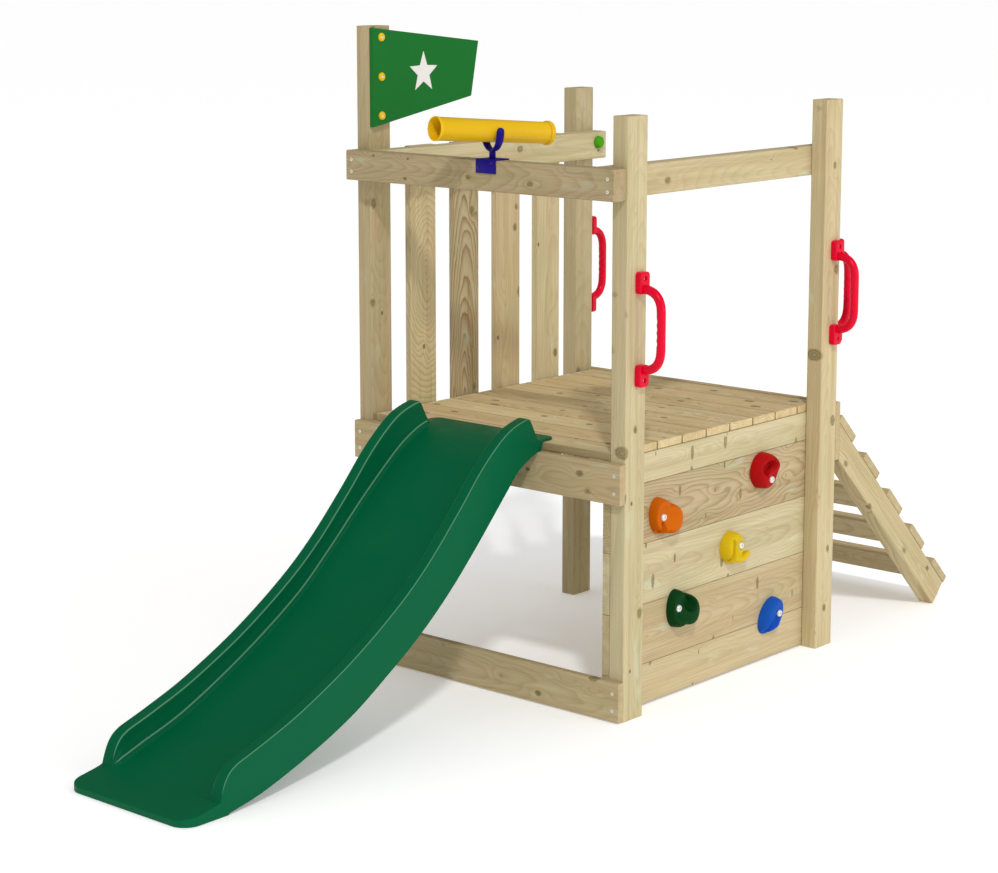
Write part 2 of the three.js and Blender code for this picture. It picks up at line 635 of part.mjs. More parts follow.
// The origin goes to the centre of the footprint.
const group = new THREE.Group();
group.add(tower);
const footprint = new THREE.Box3().setFromObject(tower, true);
tower.position.set(-(footprint.min.x + footprint.max.x) / 2, -(footprint.min.y + footprint.max.y) / 2, 0);

export default group;
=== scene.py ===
"""A child's timber play tower with a climbing wall, a slide, a ladder and a toy telescope.

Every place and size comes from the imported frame. Metres, +Z up, the climbing wall faces +X.
"""

import json
import math
import random

import bmesh
import bpy
import numpy as np
from mathutils import Matrix, Vector


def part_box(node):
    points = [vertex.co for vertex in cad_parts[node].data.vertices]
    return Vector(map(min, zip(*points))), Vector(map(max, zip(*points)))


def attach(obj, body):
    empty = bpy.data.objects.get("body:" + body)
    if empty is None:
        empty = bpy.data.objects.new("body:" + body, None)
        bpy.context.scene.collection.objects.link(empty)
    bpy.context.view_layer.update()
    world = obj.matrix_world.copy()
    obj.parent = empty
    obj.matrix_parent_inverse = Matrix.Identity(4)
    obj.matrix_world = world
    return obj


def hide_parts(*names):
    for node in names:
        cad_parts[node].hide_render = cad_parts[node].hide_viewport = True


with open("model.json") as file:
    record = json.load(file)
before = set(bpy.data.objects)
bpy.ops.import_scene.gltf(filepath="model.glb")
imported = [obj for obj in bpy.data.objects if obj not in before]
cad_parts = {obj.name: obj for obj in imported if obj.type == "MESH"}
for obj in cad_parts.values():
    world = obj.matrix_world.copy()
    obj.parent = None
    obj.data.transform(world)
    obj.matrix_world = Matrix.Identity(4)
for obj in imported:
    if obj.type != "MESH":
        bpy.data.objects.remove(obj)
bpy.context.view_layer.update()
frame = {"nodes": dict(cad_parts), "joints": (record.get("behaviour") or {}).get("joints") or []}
MM = 0.001
X, Y, Z = Vector((1, 0, 0)), Vector((0, 1, 0)), Vector((0, 0, 1))

# The camera: place, degrees below the horizontal, degrees left of +Y, lens in mm, shift.
CAMERA_PLACE = (3.6589, -4.3594, 1.7494)
CAMERA_DOWN, CAMERA_TURN = 9.544, 40.993
CAMERA_LENS, CAMERA_SHIFT = 86.9, -0.08
# The lights. The sky is dimmer in reflections, so that plastic and wood keep their own colour.
SKY, SKY_IN_GLOSS = 0.58, 0.14
SUN_ENERGY, SUN_DEGREES, SUN_FROM = 1.25, 4.5, (0.75, -0.73, 1.0)
FILL_POWER, FILL_SIZE, FILL_PLACE, FILL_FROM = 100, (5, 3), (6.2, 1.2, 2.2), (6.2, 1.2, 1.5)
FLOOR_HALF, FLOOR_DROP, FLOOR_WHITE, FLOOR_GLOW = 400, 0.0005, 0.99, 0.2

# The ladder's slope, the way down along it, and the way square off it.
SLOPE = math.radians(44.46)
DOWN = Vector((0, math.cos(SLOPE), -math.sin(SLOPE)))
SQUARE = Vector((0, math.sin(SLOPE), math.cos(SLOPE)))


# ---- camera, light, floor
def set_stage():
    camera = bpy.data.objects.new("camera", bpy.data.cameras.new("camera"))
    bpy.context.scene.collection.objects.link(camera)
    camera.location = CAMERA_PLACE
    camera.rotation_euler = (math.radians(90 - CAMERA_DOWN), 0, math.radians(CAMERA_TURN))
    camera.data.lens = CAMERA_LENS
    camera.data.shift_y = CAMERA_SHIFT
    bpy.context.scene.camera = camera

    world = bpy.data.worlds.new("studio")
    world.use_nodes = True
    sky = world.node_tree.nodes["Background"]
    sky.inputs["Color"].default_value = (1, 1, 1, 1)
    rays = world.node_tree.nodes.new("ShaderNodeLightPath")
    dim = world.node_tree.nodes.new("ShaderNodeMath")
    dim.operation = "MULTIPLY_ADD"
    dim.inputs[1].default_value = SKY_IN_GLOSS - SKY
    dim.inputs[2].default_value = SKY
    world.node_tree.links.new(rays.outputs["Is Glossy Ray"], dim.inputs[0])
    world.node_tree.links.new(dim.outputs[0], sky.inputs["Strength"])
    bpy.context.scene.world = world
    bpy.context.scene.view_settings.view_transform = "Standard"

    key = bpy.data.objects.new("key", bpy.data.lights.new("key", "SUN"))
    key.data.energy = SUN_ENERGY
    key.data.angle = math.radians(SUN_DEGREES)
    key.rotation_euler = Vector(SUN_FROM).to_track_quat("Z", "Y").to_euler()
    bpy.context.scene.collection.objects.link(key)

    fill = bpy.data.objects.new("fill", bpy.data.lights.new("fill", "AREA"))
    fill.data.shape = "RECTANGLE"
    fill.data.size, fill.data.size_y = FILL_SIZE
    fill.data.energy = FILL_POWER
    fill.location = FILL_PLACE
    fill.rotation_euler = Vector(FILL_FROM).to_track_quat("Z", "Y").to_euler()
    bpy.context.scene.collection.objects.link(fill)

    mesh = bpy.data.meshes.new("floor")
    corners = [(x * FLOOR_HALF, y * FLOOR_HALF, 0) for x, y in ((-1, -1), (1, -1), (1, 1), (-1, 1))]
    mesh.from_pydata(corners, [], [(0, 1, 2, 3)])
    floor = bpy.data.objects.new("floor", mesh)
    floor.location.z = -FLOOR_DROP
    bpy.context.scene.collection.objects.link(floor)
    paint = Graph("floor_paint")
    paint.shader.inputs["Base Color"].default_value = (*[FLOOR_WHITE] * 3, 1)
    paint.shader.inputs["Roughness"].default_value = 0.9
    paint.shader.inputs["Emission Color"].default_value = (1, 1, 1, 1)
    paint.shader.inputs["Emission Strength"].default_value = FLOOR_GLOW
    mesh.materials.append(paint.material)


# ---- node graphs
def linear(red, green, blue):
    """Linear RGBA of an sRGB colour in 0 to 255."""
    out = []
    for c in (red, green, blue):
        c /= 255
        out.append(c / 12.92 if c <= 0.04045 else ((c + 0.055) / 1.055) ** 2.4)
    return (*out, 1)


class Graph:
    """A material and short ways to add its nodes. A value is a number, a tuple or a socket."""

    def __init__(self, name):
        self.material = bpy.data.materials.new(name)
        self.material.use_nodes = True
        self.tree = self.material.node_tree
        self.shader = self.tree.nodes["Principled BSDF"]

    def feed(self, socket, value):
        if isinstance(value, bpy.types.NodeSocket):
            self.tree.links.new(value, socket)
        else:
            socket.default_value = value

    def node(self, kind, values=None, **settings):
        node = self.tree.nodes.new("ShaderNode" + kind)
        for name, setting in settings.items():
            setattr(node, name, setting)
        for key, value in (values or {}).items():
            self.feed(node.inputs[key], value)
        return node

    def math(self, operation, *values, clamp=False):
        node = self.node("Math", operation=operation, use_clamp=clamp)
        for socket, value in zip(node.inputs, values):
            self.feed(socket, value)
        return node.outputs[0]

    def add(self, a, b):
        return self.math("ADD", a, b)

    def sub(self, a, b):
        return self.math("SUBTRACT", a, b)

    def mul(self, a, b):
        return self.math("MULTIPLY", a, b)

    def length(self, x, y, z):
        vector = self.join(x, y, z)
        return self.node("VectorMath", {0: vector}, operation="LENGTH").outputs["Value"]

    def split(self, vector):
        return self.node("SeparateXYZ", {0: vector}).outputs

    def join(self, x, y, z):
        return self.node("CombineXYZ", {0: x, 1: y, 2: z}).outputs[0]

    def stretch(self, vector, scale):
        return self.node("VectorMath", {0: vector, 1: scale}, operation="MULTIPLY").outputs[0]

    def span(self, x, y, z, sizes):
        """Length of (x, y, z) counted in the given sizes."""
        return self.length(*(self.mul(v, 1 / size) for v, size in zip((x, y, z), sizes)))

    def noise(self, vector, scale=1.0, detail=2.0, roughness=0.5):
        values = {"Vector": vector, "Scale": scale, "Detail": detail, "Roughness": roughness}
        return self.node("TexNoise", values).outputs["Fac"]

    def step(self, value, low, high, to_low=0.0, to_high=1.0):
        """Smooth step from to_low at low to to_high at high."""
        values = {"Value": value, "From Min": low, "From Max": high,
                  "To Min": to_low, "To Max": to_high}
        return self.node("MapRange", values, interpolation_type="SMOOTHSTEP").outputs["Result"]

    def mix(self, share, a, b, blend="MIX"):
        node = self.node("Mix", data_type="RGBA", blend_type=blend)
        for key, value in ((0, share), (6, a), (7, b)):
            self.feed(node.inputs[key], value)
        return node.outputs[2]

    def attribute(self, name):
        return self.node("Attribute", attribute_name=name).outputs["Vector"]

    def finish(self, colour, roughness, height, depth):
        """Links colour, roughness and a bump of that height, in metres."""
        self.feed(self.shader.inputs["Base Color"], colour)
        self.feed(self.shader.inputs["Roughness"], roughness)
        bump = self.node("Bump", {"Height": height, "Distance": depth, "Strength": 1.0})
        self.tree.links.new(bump.outputs[0], self.shader.inputs["Normal"])
        return self.material


# Wood, in metres along the grain, across the board and into it.
KNOT_CELL = (0.17, 0.055, 0.05)  # a cell of this size may hold one knot
KNOT_SHARE = 0.85  # how many of the cells do
KNOT_BEND = (0.034, 0.014, 0.03)  # how far from a knot the rings bend round it
RING_PUSH = 0.012  # how far it pushes them
RING_WIDTH = 0.0062
GRAIN_BUMP = 0.00035
WARM = (196, 152, 106)
PALE_PATCH = (196, 206, 178)
KNOT_RIM, KNOT_PALE, KNOT_DARK = (122, 104, 56), (128, 112, 64), (56, 52, 28)
# Painted shade: the dark line along board edges that stands for the gaps between boards.
GAP_SHADE = (110, 94, 60)


def wood(name, early, late, green, knot_size, gap_shade=0.0):
    """Sawn and planed softwood. Reads the board's own coordinates: grain (along, across, depth),
    edge (distance from the middle in half widths and half depths, half width), pith (where the
    log's centre lies) and tone (lightness, contrast, warmth)."""
    g = Graph(name)
    grain = g.attribute("grain")
    place = along, across, depth = g.split(grain)
    pith_across, pith_depth, pith_slope = g.split(g.attribute("pith"))
    edge_across, _, half_width = g.split(g.attribute("edge"))
    lightness, contrast, warmth = g.split(g.attribute("tone"))

    # Knots: one possible knot in each cell, drawn out along or across the grain.
    cell = g.join(*(g.mul(v, 1 / size) for v, size in zip(place, KNOT_CELL)))
    voronoi = g.node("TexVoronoi", {"Vector": cell, "Scale": 1.0, "Randomness": 0.9})
    knot = g.split(voronoi.outputs["Position"])
    pick, spread, _ = g.split(voronoi.outputs["Color"])
    away = [g.sub(v, g.mul(k, size)) for v, k, size in zip(place, knot, KNOT_CELL)]
    size = g.step(spread, 0.1, 0.95, 0.35, 1.2)
    present = g.math("LESS_THAN", pick, KNOT_SHARE)
    reach = g.math("DIVIDE", g.span(*away, knot_size), size)
    wobble = g.mul(g.sub(g.noise(grain, 160, 2), 0.5), 0.5)
    uneven = g.add(reach, wobble)
    inside = g.mul(present, g.step(uneven, 0.85, 1.1, 1.0, 0.0))
    rim = g.mul(present, g.mul(g.step(uneven, 1.5, 1.0), g.step(reach, 0.6, 0.95)))
    near = g.math("POWER", g.span(*away, KNOT_BEND), 2)
    bend = g.mul(present, g.math("EXPONENT", g.mul(near, -1.0)))

    # Growth rings round the pith, which wanders along the board.
    slow = g.noise(g.stretch(grain, (2.2, 9, 9)), 1, 2)
    quick = g.noise(g.stretch(grain, (9, 40, 40)), 1, 3)
    drift = g.add(g.mul(g.sub(slow, 0.5), 0.030), g.mul(g.sub(quick, 0.5), 0.006))
    ring_y = g.sub(across, pith_across)
    ring_z = g.add(g.add(g.sub(depth, pith_depth), g.mul(along, pith_slope)), drift)
    radius = g.add(g.length(ring_y, ring_z, 0.0), g.mul(bend, RING_PUSH))
    uneven_width = g.mul(g.noise(g.join(g.mul(radius, 55), pith_slope, 0), 1, 1), 1.6)
    part = g.math("FRACT", g.add(g.mul(radius, 1 / RING_WIDTH), uneven_width))
    latewood = g.mul(g.math("POWER", part, 2.6), g.step(part, 1.0, 0.86))

    # Colour: rings, streaks and bands, then warmth, green stain, pale patches and fibres.
    fibre = g.noise(g.stretch(grain, (7, 520, 520)), 1, 3, 0.6)
    streak = g.noise(g.stretch(grain, (3.0, 85, 85)), 1, 2)
    blotch = g.noise(g.stretch(grain, (4, 16, 16)), 1, 2)
    patch = g.noise(g.stretch(grain, (9, 30, 30)), 1, 3)
    band = g.noise(g.stretch(grain, (1.1, 48, 48)), 1, 2)
    clear = g.mul(contrast, g.step(blotch, 0.25, 0.75, 0.45, 1.0))
    colour = g.mix(g.mul(latewood, clear), early, late)
    colour = g.mix(g.mul(g.step(streak, 0.55, 0.75), g.mul(contrast, 0.35)), colour, late)
    colour = g.mix(g.step(band, 0.35, 0.7, 0.0, 0.26), colour, late)
    colour = g.mix(g.mul(warmth, 0.4), colour, linear(*WARM))
    colour = g.mix(g.step(blotch, 0.45, 0.8, 0.0, 0.42), colour, green)
    colour = g.mix(g.step(patch, 0.62, 0.76, 0.0, 0.45), colour, linear(*PALE_PATCH))
    shade = g.mul(lightness, g.step(fibre, 0.25, 0.75, 0.88, 1.07))
    colour = g.mix(1.0, colour, g.join(shade, shade, shade), "MULTIPLY")

    # Knots and, where asked for, painted shade: a dark line along the board's edges for the gaps
    # between boards.
    colour = g.mix(g.mul(rim, 0.62), colour, linear(*KNOT_RIM))
    ringed = g.step(g.math("FRACT", g.mul(reach, 1.7)), 0.35, 0.9)
    heart = g.mix(ringed, linear(*KNOT_PALE), linear(*KNOT_DARK))
    colour = g.mix(g.mul(inside, g.step(spread, 0.2, 0.9, 0.9, 0.62)), colour, heart)
    if gap_shade:
        from_edge = g.mul(g.sub(1.0, g.math("ABSOLUTE", edge_across)), half_width)
        colour = g.mix(g.step(from_edge, 0.4 * MM, 1.7 * MM, gap_shade, 0.0), colour, linear(*GAP_SHADE))

    rough = g.add(g.step(fibre, 0.2, 0.8, 0.62, 0.78), g.mul(latewood, -0.08))
    height = g.add(g.mul(fibre, 0.6), g.add(g.mul(latewood, 0.35), g.mul(rim, -0.5)))
    g.shader.inputs["Specular IOR Level"].default_value = 0.3
    return g.finish(colour, rough, height, GRAIN_BUMP)


# Pale green of the painted highlight along the slide's rounded rail edges and bead.
PAINTED_HIGHLIGHT = (122, 164, 134)


def plastic(name, base, worn, rough, skin, bump, scuffs, shine, edges=0.0):
    """Moulded plastic: a fine moulded skin (its fineness and its depth in metres), cloudy
    colour, faint scuffs and uneven gloss. With edges above 0, marked edges get a painted highlight."""
    g = Graph(name)
    base, worn = linear(*base), linear(*worn)
    place = g.node("TexCoord").outputs["Object"]
    cloud = g.noise(place, 9, 3)
    speck = g.noise(place, 260, 2)
    scuff = g.noise(g.stretch(place, (60, 9, 60)), 1, 4, 0.7)
    scuffed = g.mul(g.step(scuff, 0.6, 0.74), scuffs)
    colour = g.mix(g.step(cloud, 0.3, 0.75, 0.0, 0.18), base, worn)
    colour = g.mix(g.step(speck, 0.52, 0.75, 0.0, 0.12), colour, worn)
    colour = g.mix(g.mul(scuffed, 0.5), colour, worn)
    if edges:
        # Painted highlight: where the attribute marks an edge, the colour turns pale green.
        painted_highlight = g.node("Attribute", attribute_name="painted_highlight").outputs["Fac"]
        colour = g.mix(g.mul(g.step(painted_highlight, 0.3, 1.0), edges), colour, linear(*PAINTED_HIGHLIGHT))
    uneven = g.step(cloud, 0.25, 0.75, rough - 0.05, rough + 0.07)
    g.shader.inputs["Specular IOR Level"].default_value = shine
    return g.finish(colour, g.add(uneven, g.mul(scuffed, 0.3)), g.noise(place, skin, 2), bump)


def steel(name, low, high):
    """Plated steel, slightly mottled."""
    g = Graph(name)
    place = g.node("TexCoord").outputs["Object"]
    spangle = g.noise(place, 700, 2)
    brush = g.noise(g.stretch(place, (200, 2400, 200)), 1, 2)
    colour = g.mix(g.step(spangle, 0.3, 0.7), linear(*low), linear(*high))
    g.shader.inputs["Metallic"].default_value = 0.35
    return g.finish(colour, g.step(brush, 0.3, 0.7, 0.28, 0.42), brush, 0.05 * MM)


# ---- pieces
def add_piece(name, bm, look, nodes=(), body="tower", sharp=35, weighted=False):
    """Makes bm an object that rides on a body and stands for some CAD nodes."""
    bmesh.ops.recalc_face_normals(bm, faces=bm.faces)
    mesh = bpy.data.meshes.new(name)
    bm.to_mesh(mesh)
    bm.free()
    mesh.materials.append(look)
    mesh.shade_smooth()
    mesh.set_sharp_from_angle(angle=math.radians(sharp))
    piece = bpy.data.objects.new(name, mesh)
    bpy.context.scene.collection.objects.link(piece)
    if weighted:
        modifier = piece.modifiers.new("flat_faces", "WEIGHTED_NORMAL")
        modifier.keep_sharp = True
    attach(piece, body)
    if nodes:
        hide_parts(*nodes)
    return piece


def copied(node):
    """A bmesh of a CAD node with its split corners merged and its flat faces whole."""
    bm = bmesh.new()
    bm.from_mesh(frame["nodes"][node].data)
    bmesh.ops.remove_doubles(bm, verts=bm.verts, dist=0.01 * MM)
    bmesh.ops.dissolve_limit(bm, angle_limit=0.01, verts=bm.verts, edges=bm.edges)
    return bm


def bevel(bm, edges, width, segments):
    bmesh.ops.bevel(bm, geom=edges, offset=width, segments=segments, profile=0.5,
                    affect="EDGES", clamp_overlap=True)


def soften(bm, width, angle=35, segments=2):
    """Rounds every edge sharper than angle."""
    limit = math.radians(angle)
    edges = [e for e in bm.edges if len(e.link_faces) == 2 and e.calc_face_angle(0) > limit]
    bevel(bm, edges, width, segments)


def bridge(bm, rings):
    """Faces between each closed ring of vertices and the next."""
    count = len(rings[0])
    for here, there in zip(rings, rings[1:]):
        for k in range(count):
            n = (k + 1) % count
            bm.faces.new((here[k], here[n], there[n], there[k]))


def in_order(bm):
    """The same mesh in an order that each run repeats, as the order after a bevel isn't."""
    bmesh.ops.recalc_face_normals(bm, faces=bm.faces)
    verts = sorted(bm.verts, key=lambda v: [round(c / MM, 3) for c in v.co])
    index = {v: i for i, v in enumerate(verts)}
    faces = []
    for f in bm.faces:
        ring = [index[v] for v in f.verts]
        start = ring.index(min(ring))
        faces.append(ring[start:] + ring[:start])
    out = bmesh.new()
    made = [out.verts.new(v.co) for v in verts]
    for ring in sorted(faces):
        out.faces.new([made[i] for i in ring])
    bm.free()
    return out


def hull_of(node):
    """The convex solid round a CAD node, with whole flat faces."""
    bm = bmesh.new()
    for vertex in frame["nodes"][node].data.vertices:
        bm.verts.new(vertex.co)
    bmesh.ops.remove_doubles(bm, verts=bm.verts, dist=0.01 * MM)
    hull = bmesh.ops.convex_hull(bm, input=bm.verts)
    spare = {v for v in hull["geom_interior"] + hull["geom_unused"]
             if isinstance(v, bmesh.types.BMVert)}
    bmesh.ops.delete(bm, geom=list(spare), context="VERTS")
    bmesh.ops.dissolve_limit(bm, angle_limit=0.01, verts=bm.verts, edges=bm.edges)
    return bm


def lathe(profile, segments, matrix):
    """A closed (radius, height) profile turned about the local Z axis."""
    bm = bmesh.new()
    rings = []
    for k in range(segments):
        a = 2 * math.pi * k / segments
        turn = [(r * math.cos(a), r * math.sin(a), h) for r, h in profile]
        rings.append([bm.verts.new(matrix @ Vector(p)) for p in turn])
    for k in range(segments):
        here, there = rings[k], rings[(k + 1) % segments]
        for i in range(len(profile)):
            j = (i + 1) % len(profile)
            bm.faces.new((here[i], there[i], there[j], here[j]))
    bmesh.ops.remove_doubles(bm, verts=bm.verts, dist=0.002 * MM)
    bmesh.ops.dissolve_degenerate(bm, edges=bm.edges, dist=0.001 * MM)
    return bm


def merge(target, extra):
    """Adds the mesh of extra to target."""
    mesh = bpy.data.meshes.new("part")
    extra.to_mesh(mesh)
    extra.free()
    target.from_mesh(mesh)
    bpy.data.meshes.remove(mesh)


def aimed(place, direction):
    """A matrix at place whose local Z axis points along direction."""
    return Matrix.Translation(place) @ direction.to_track_quat("Z", "Y").to_matrix().to_4x4()


def box(node):
    """The low corner, high corner and middle of a CAD node's box."""
    low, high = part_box(node)
    return low, high, (low + high) / 2


# ---- timber
# A board's look: lightness, contrast of its grain, warmth of its colour.
TONES = {
    "wall_board_5": (1.04, 0.35, 0.0), "wall_board_4": (0.88, 1.3, 0.5),
    "wall_board_3": (1.02, 0.45, 0.0), "wall_board_2": (0.94, 0.6, 0.6),
    "wall_board_1": (1.0, 0.4, 0.4), "slat_1": (1.08, 1.0, 0.1), "slat_2": (0.82, 2.0, 0.2),
    "slat_3": (1.04, 0.6, 0.5), "slat_4": (1.08, 0.5, 0.1),
    "post_front_right": (1.0, 0.35, 0.0), "post_front_left": (0.85, 0.5, 0.6),
    "post_back_left": (0.88, 0.4, 0.3), "top_rail_front": (0.78, 0.8, 0.6),
    "top_rail_left": (1.04, 0.35, 0.0), "top_rail_right": (0.98, 0.4, 0.3),
    "deck_rail_front": (0.9, 0.7, 0.7), "bottom_rail_front": (0.92, 0.6, 0.4),
}
STEEP = {"slat_1", "slat_2"}  # boards sawn well off the log's axis, which gives many short arches
STEEPER = 3.5
END_EDGE = 0.9 * MM  # how far a board's ends are broken

# Names start with, what the wood is, slot, rounding of the long edges, and the directions along
# and across, where the box doesn't tell them. The first row that fits a node counts.
TIMBER = (
    ("wall_board", "wall", "wall_pine", 1.2 * MM),
    ("deck_board_back", "frame", "frame_pine", 2 * MM),
    ("deck_board", "deck", "deck_pine", 2.2 * MM),
    ("ladder_stringer", "frame", "frame_pine", 3.5 * MM, DOWN, SQUARE),
    ("ladder_tread", "frame", "frame_pine", 2.2 * MM, X, DOWN),
    (("post", "top_rail", "joist"), "frame", "frame_pine", 3.5 * MM),
    (("slat", "deck_rail", "bottom_rail"), "frame", "frame_pine", 2 * MM),
)


def add_timber(node, look, slot, edge, along=None, across=None):
    """A board in place of a CAD node: long edges rounded by edge, ends just broken."""
    low, high, centre = box(node)
    size = high - low
    if along is None:
        order = sorted(range(3), key=lambda i: -size[i])
        along, across = ((X, Y, Z)[i] for i in order[:2])
    normal = along.cross(across)
    bm = hull_of(node)
    long_edges = []
    for e in bm.edges:
        run = (e.verts[1].co - e.verts[0].co).normalized()
        if abs(run.dot(along)) > 0.99:
            long_edges.append(e)
    bevel(bm, long_edges, edge, 3)
    bm.normal_update()
    ends = [f for f in bm.faces if abs(f.normal.dot(along)) > 0.5 and f.calc_area() > 1e-4]
    bevel(bm, list({e for f in ends for e in f.edges}), END_EDGE, 1)
    piece = add_piece(node + "_timber", in_order(bm), look, [node], weighted=True)

    # Where the board was sawn from its log, drawn at random by its name.
    draw = random.Random(node)
    half_across = max(abs(across.dot(size)) / 2, 0.01)
    half_depth = max(abs(normal.dot(size)) / 2, 0.005)
    offset = draw.uniform(0, 40)
    side = draw.choice((-1, 1))
    pith_across = draw.uniform(-0.5, 0.5) * half_across
    pith_depth = side * (half_depth + draw.uniform(0.012, 0.05))
    pith_slope = draw.choice((-1, 1)) * draw.uniform(0.02, 0.12) * (STEEPER if node in STEEP else 1)
    any_tone = draw.uniform(0.9, 1.05), draw.uniform(0.5, 1.1), draw.uniform(0.0, 0.7)
    aside = draw.uniform(0, 50)
    mesh = piece.data
    grain, edges = [], []
    for v in mesh.vertices:
        p = v.co - centre
        grain.append((p.dot(along) + offset, p.dot(across) + aside, p.dot(normal)))
        edges.append((p.dot(across) / half_across, p.dot(normal) / half_depth, half_across))
    count = len(mesh.vertices)
    pith = (pith_across + aside, pith_depth + offset * pith_slope, pith_slope)
    own = {"grain": grain, "edge": edges, "pith": [pith] * count,
           "tone": [TONES.get(node, any_tone)] * count}
    for name, values in own.items():
        flat = np.array(values, np.float32).ravel()
        mesh.attributes.new(name, "FLOAT_VECTOR", "POINT").data.foreach_set("vector", flat)


def add_all_timber(looks):
    for node in sorted(frame["nodes"]):
        for start, look, *rest in TIMBER:
            if node.startswith(start):
                add_timber(node, looks[look], *rest)
                break


# ---- screws
HEAD_PROUD, HEAD_SUNK, RECESS_DEEP = 0.5 * MM, 1.5 * MM, 1.1 * MM
RAIL_SCREW, SLAT_SCREW = 18 * MM, 36 * MM  # distance from the board's end
BACK_SCREW = 0.04  # above and below the back board's middle


def screw_head(place, direction, r):
    """A countersunk head with a round drive recess, standing proud of the face."""
    h, bottom = HEAD_PROUD, HEAD_PROUD - RECESS_DEEP
    profile = [(0, -HEAD_SUNK), (r, -HEAD_SUNK), (r, 0.6 * h), (0.88 * r, h), (0.42 * r, h),
               (0.36 * r, bottom), (0, bottom)]
    return lathe(profile, 16, aimed(place, direction))


def add_screws(name, places, look, radius=4.2 * MM):
    """One piece holding the heads at all the (place, direction) pairs."""
    bm = bmesh.new()
    for place, direction in places:
        merge(bm, screw_head(Vector(place), direction, radius))
    return add_piece(name, bm, look)


def nodes_named(start):
    return [node for node in sorted(frame["nodes"]) if node.startswith(start)]


def add_all_screws(look):
    front = []
    for rail, spread in (("top_rail", 0.2), ("deck_rail", 0.22), ("bottom_rail", 0.22)):
        low, high, middle = box(f"{rail}_front")
        half = (high.z - low.z) * spread
        for x in (low.x + RAIL_SCREW, high.x - RAIL_SCREW):
            front += [((x, low.y, middle.z + s * half), -Y) for s in (-1, 1)]
    add_screws("front_rail_screws", front, look)

    low, high, middle = box("deck_board_back")
    back = [((x, high.y, middle.z + s * BACK_SCREW), Y)
            for x in (low.x + RAIL_SCREW, high.x - RAIL_SCREW) for s in (-1, 1)]
    add_screws("back_board_screws", back, look)

    deck = []
    for node in nodes_named("deck_board_"):
        if node != "deck_board_back":
            low, high, _ = box(node)
            for joist in ("left", "middle", "right"):
                x = box(f"joist_{joist}")[2].x
                deck += [((x, low.y + s * (high.y - low.y), high.z), Z) for s in (0.22, 0.78)]
    add_screws("deck_screws", deck, look, 3.0 * MM)

    slats = []
    for node in nodes_named("slat"):
        low, high, _ = box(node)
        for z in (high.z - SLAT_SCREW, low.z + SLAT_SCREW):
            slats += [((low.x, low.y + s * (high.y - low.y), z), -X) for s in (0.25, 0.75)]
    add_screws("slat_screws", slats, look, 3.6 * MM)

    treads = []
    for node in nodes_named("ladder_tread"):
        points = [v.co for v in frame["nodes"][node].data.vertices]
        top = max(p.dot(SQUARE) for p in points)
        along = [p.dot(DOWN) for p in points if top - p.dot(SQUARE) < 1 * MM]
        for side in ("right", "left"):
            x = box(f"ladder_stringer_{side}")[2].x
            for share in (0.25, 0.75):
                run = min(along) + share * (max(along) - min(along))
                treads.append((X * x + SQUARE * top + DOWN * run, SQUARE))
    add_screws("tread_screws", treads, look, 3.8 * MM)


# ---- climbing holds
def smooth_step(value, low, high):
    t = min(max((value - low) / (high - low), 0.0), 1.0)
    return t * t * (3 - 2 * t)


def ellipse_distance(a, u, shape):
    """1 on the ellipse (centre across, up, half sizes, turn), 0 at its centre."""
    centre_a, centre_u, half_a, half_u, turn = shape
    da, du = a - centre_a, u - centre_u
    c, s = math.cos(turn), math.sin(turn)
    return math.hypot((c * da + s * du) / half_a, (c * du - s * da) / half_u)


# Millimetres about the hold's middle, across the wall and up. A lobe: ellipse, height, flatness.
# A cut: ellipse, depth, how sharp its rim is (0 soft, 1 sharp).
HOLDS = {
    "red": {
        "lobes": [((0, 0, 45, 45, 0), 42, 6.0)],
        "cuts": [((-6, 10, 29, 20, 0.12), 30, 0.85)],
    },
    "orange": {
        "lobes": [((-14, 0, 30, 43, 0.12), 38, 5.5), ((16, -11, 27, 36, -0.1), 42, 6.0)],
        "cuts": [((-21, -33, 9, 27, -0.14), 30, 0.85)],
    },
    "yellow": {
        "lobes": [((-9, 1, 35, 39, 0), 34, 8.0)],
        "cuts": [((-27, -4, 7, 30, -0.05), 22, 0.75)],
    },
    "green": {
        "lobes": [((-16, -1, 29, 45, 0), 40, 5.5), ((16, -8, 28, 38, 0.05), 42, 6.0)],
        "cuts": [((6, 10, 15, 19, 0.35), 26, 0.8), ((-4, 38, 6, 18, -0.1), 24, 0.7)],
    },
    "blue": {
        "lobes": [((0, 0, 33, 49, -0.68), 37, 5.0)],
        "cuts": [((-5, -15, 37, 21, 0.8), 24, 0.85)],
    },
}


BLEND = 8  # how closely the lobes' union follows the taller one
SEAT, SEAT_FROM, SEAT_TO = 22.5, 11, 44  # height of the dish round the bolt, and its radii
HOLD_RIM = 4.0  # what a cut leaves standing
HOLD_AROUND, HOLD_RINGS = 132, 46
BORE, BORE_SEAT, BORE_LENGTH = 10.3 * MM, 19.8 * MM, 0.05


def hold_height(shape, a, u, bolt):
    """How far the hold stands out at (a, u)."""
    total = 0.0
    for ellipse, height, flat in shape["lobes"]:
        d = ellipse_distance(a, u, ellipse)
        if d < 1:
            total += (height * (1 - d ** flat) ** 0.5) ** BLEND
    full = total ** (1 / BLEND)
    out = full
    for ellipse, depth, sharp in shape["cuts"]:
        d = ellipse_distance(a, u, ellipse)
        out -= depth * (1 - smooth_step(d, 0.25 + 0.5 * sharp, 1.12))
    if out > SEAT:
        spread = math.hypot(a - bolt[0], u - bolt[1])
        out = SEAT + (out - SEAT) * smooth_step(spread, SEAT_FROM, SEAT_TO)
    return max(out, min(full, HOLD_RIM))


def hold_reach(shape, ca, su):
    """Distance from the middle to the hold's outline in one direction."""
    near, far = 0.0, 80.0
    for _ in range(24):
        middle = (near + far) / 2
        inside = any(ellipse_distance(middle * ca, middle * su, e) < 1
                     for e, _, _ in shape["lobes"])
        near, far = (middle, far) if inside else (near, middle)
    return near


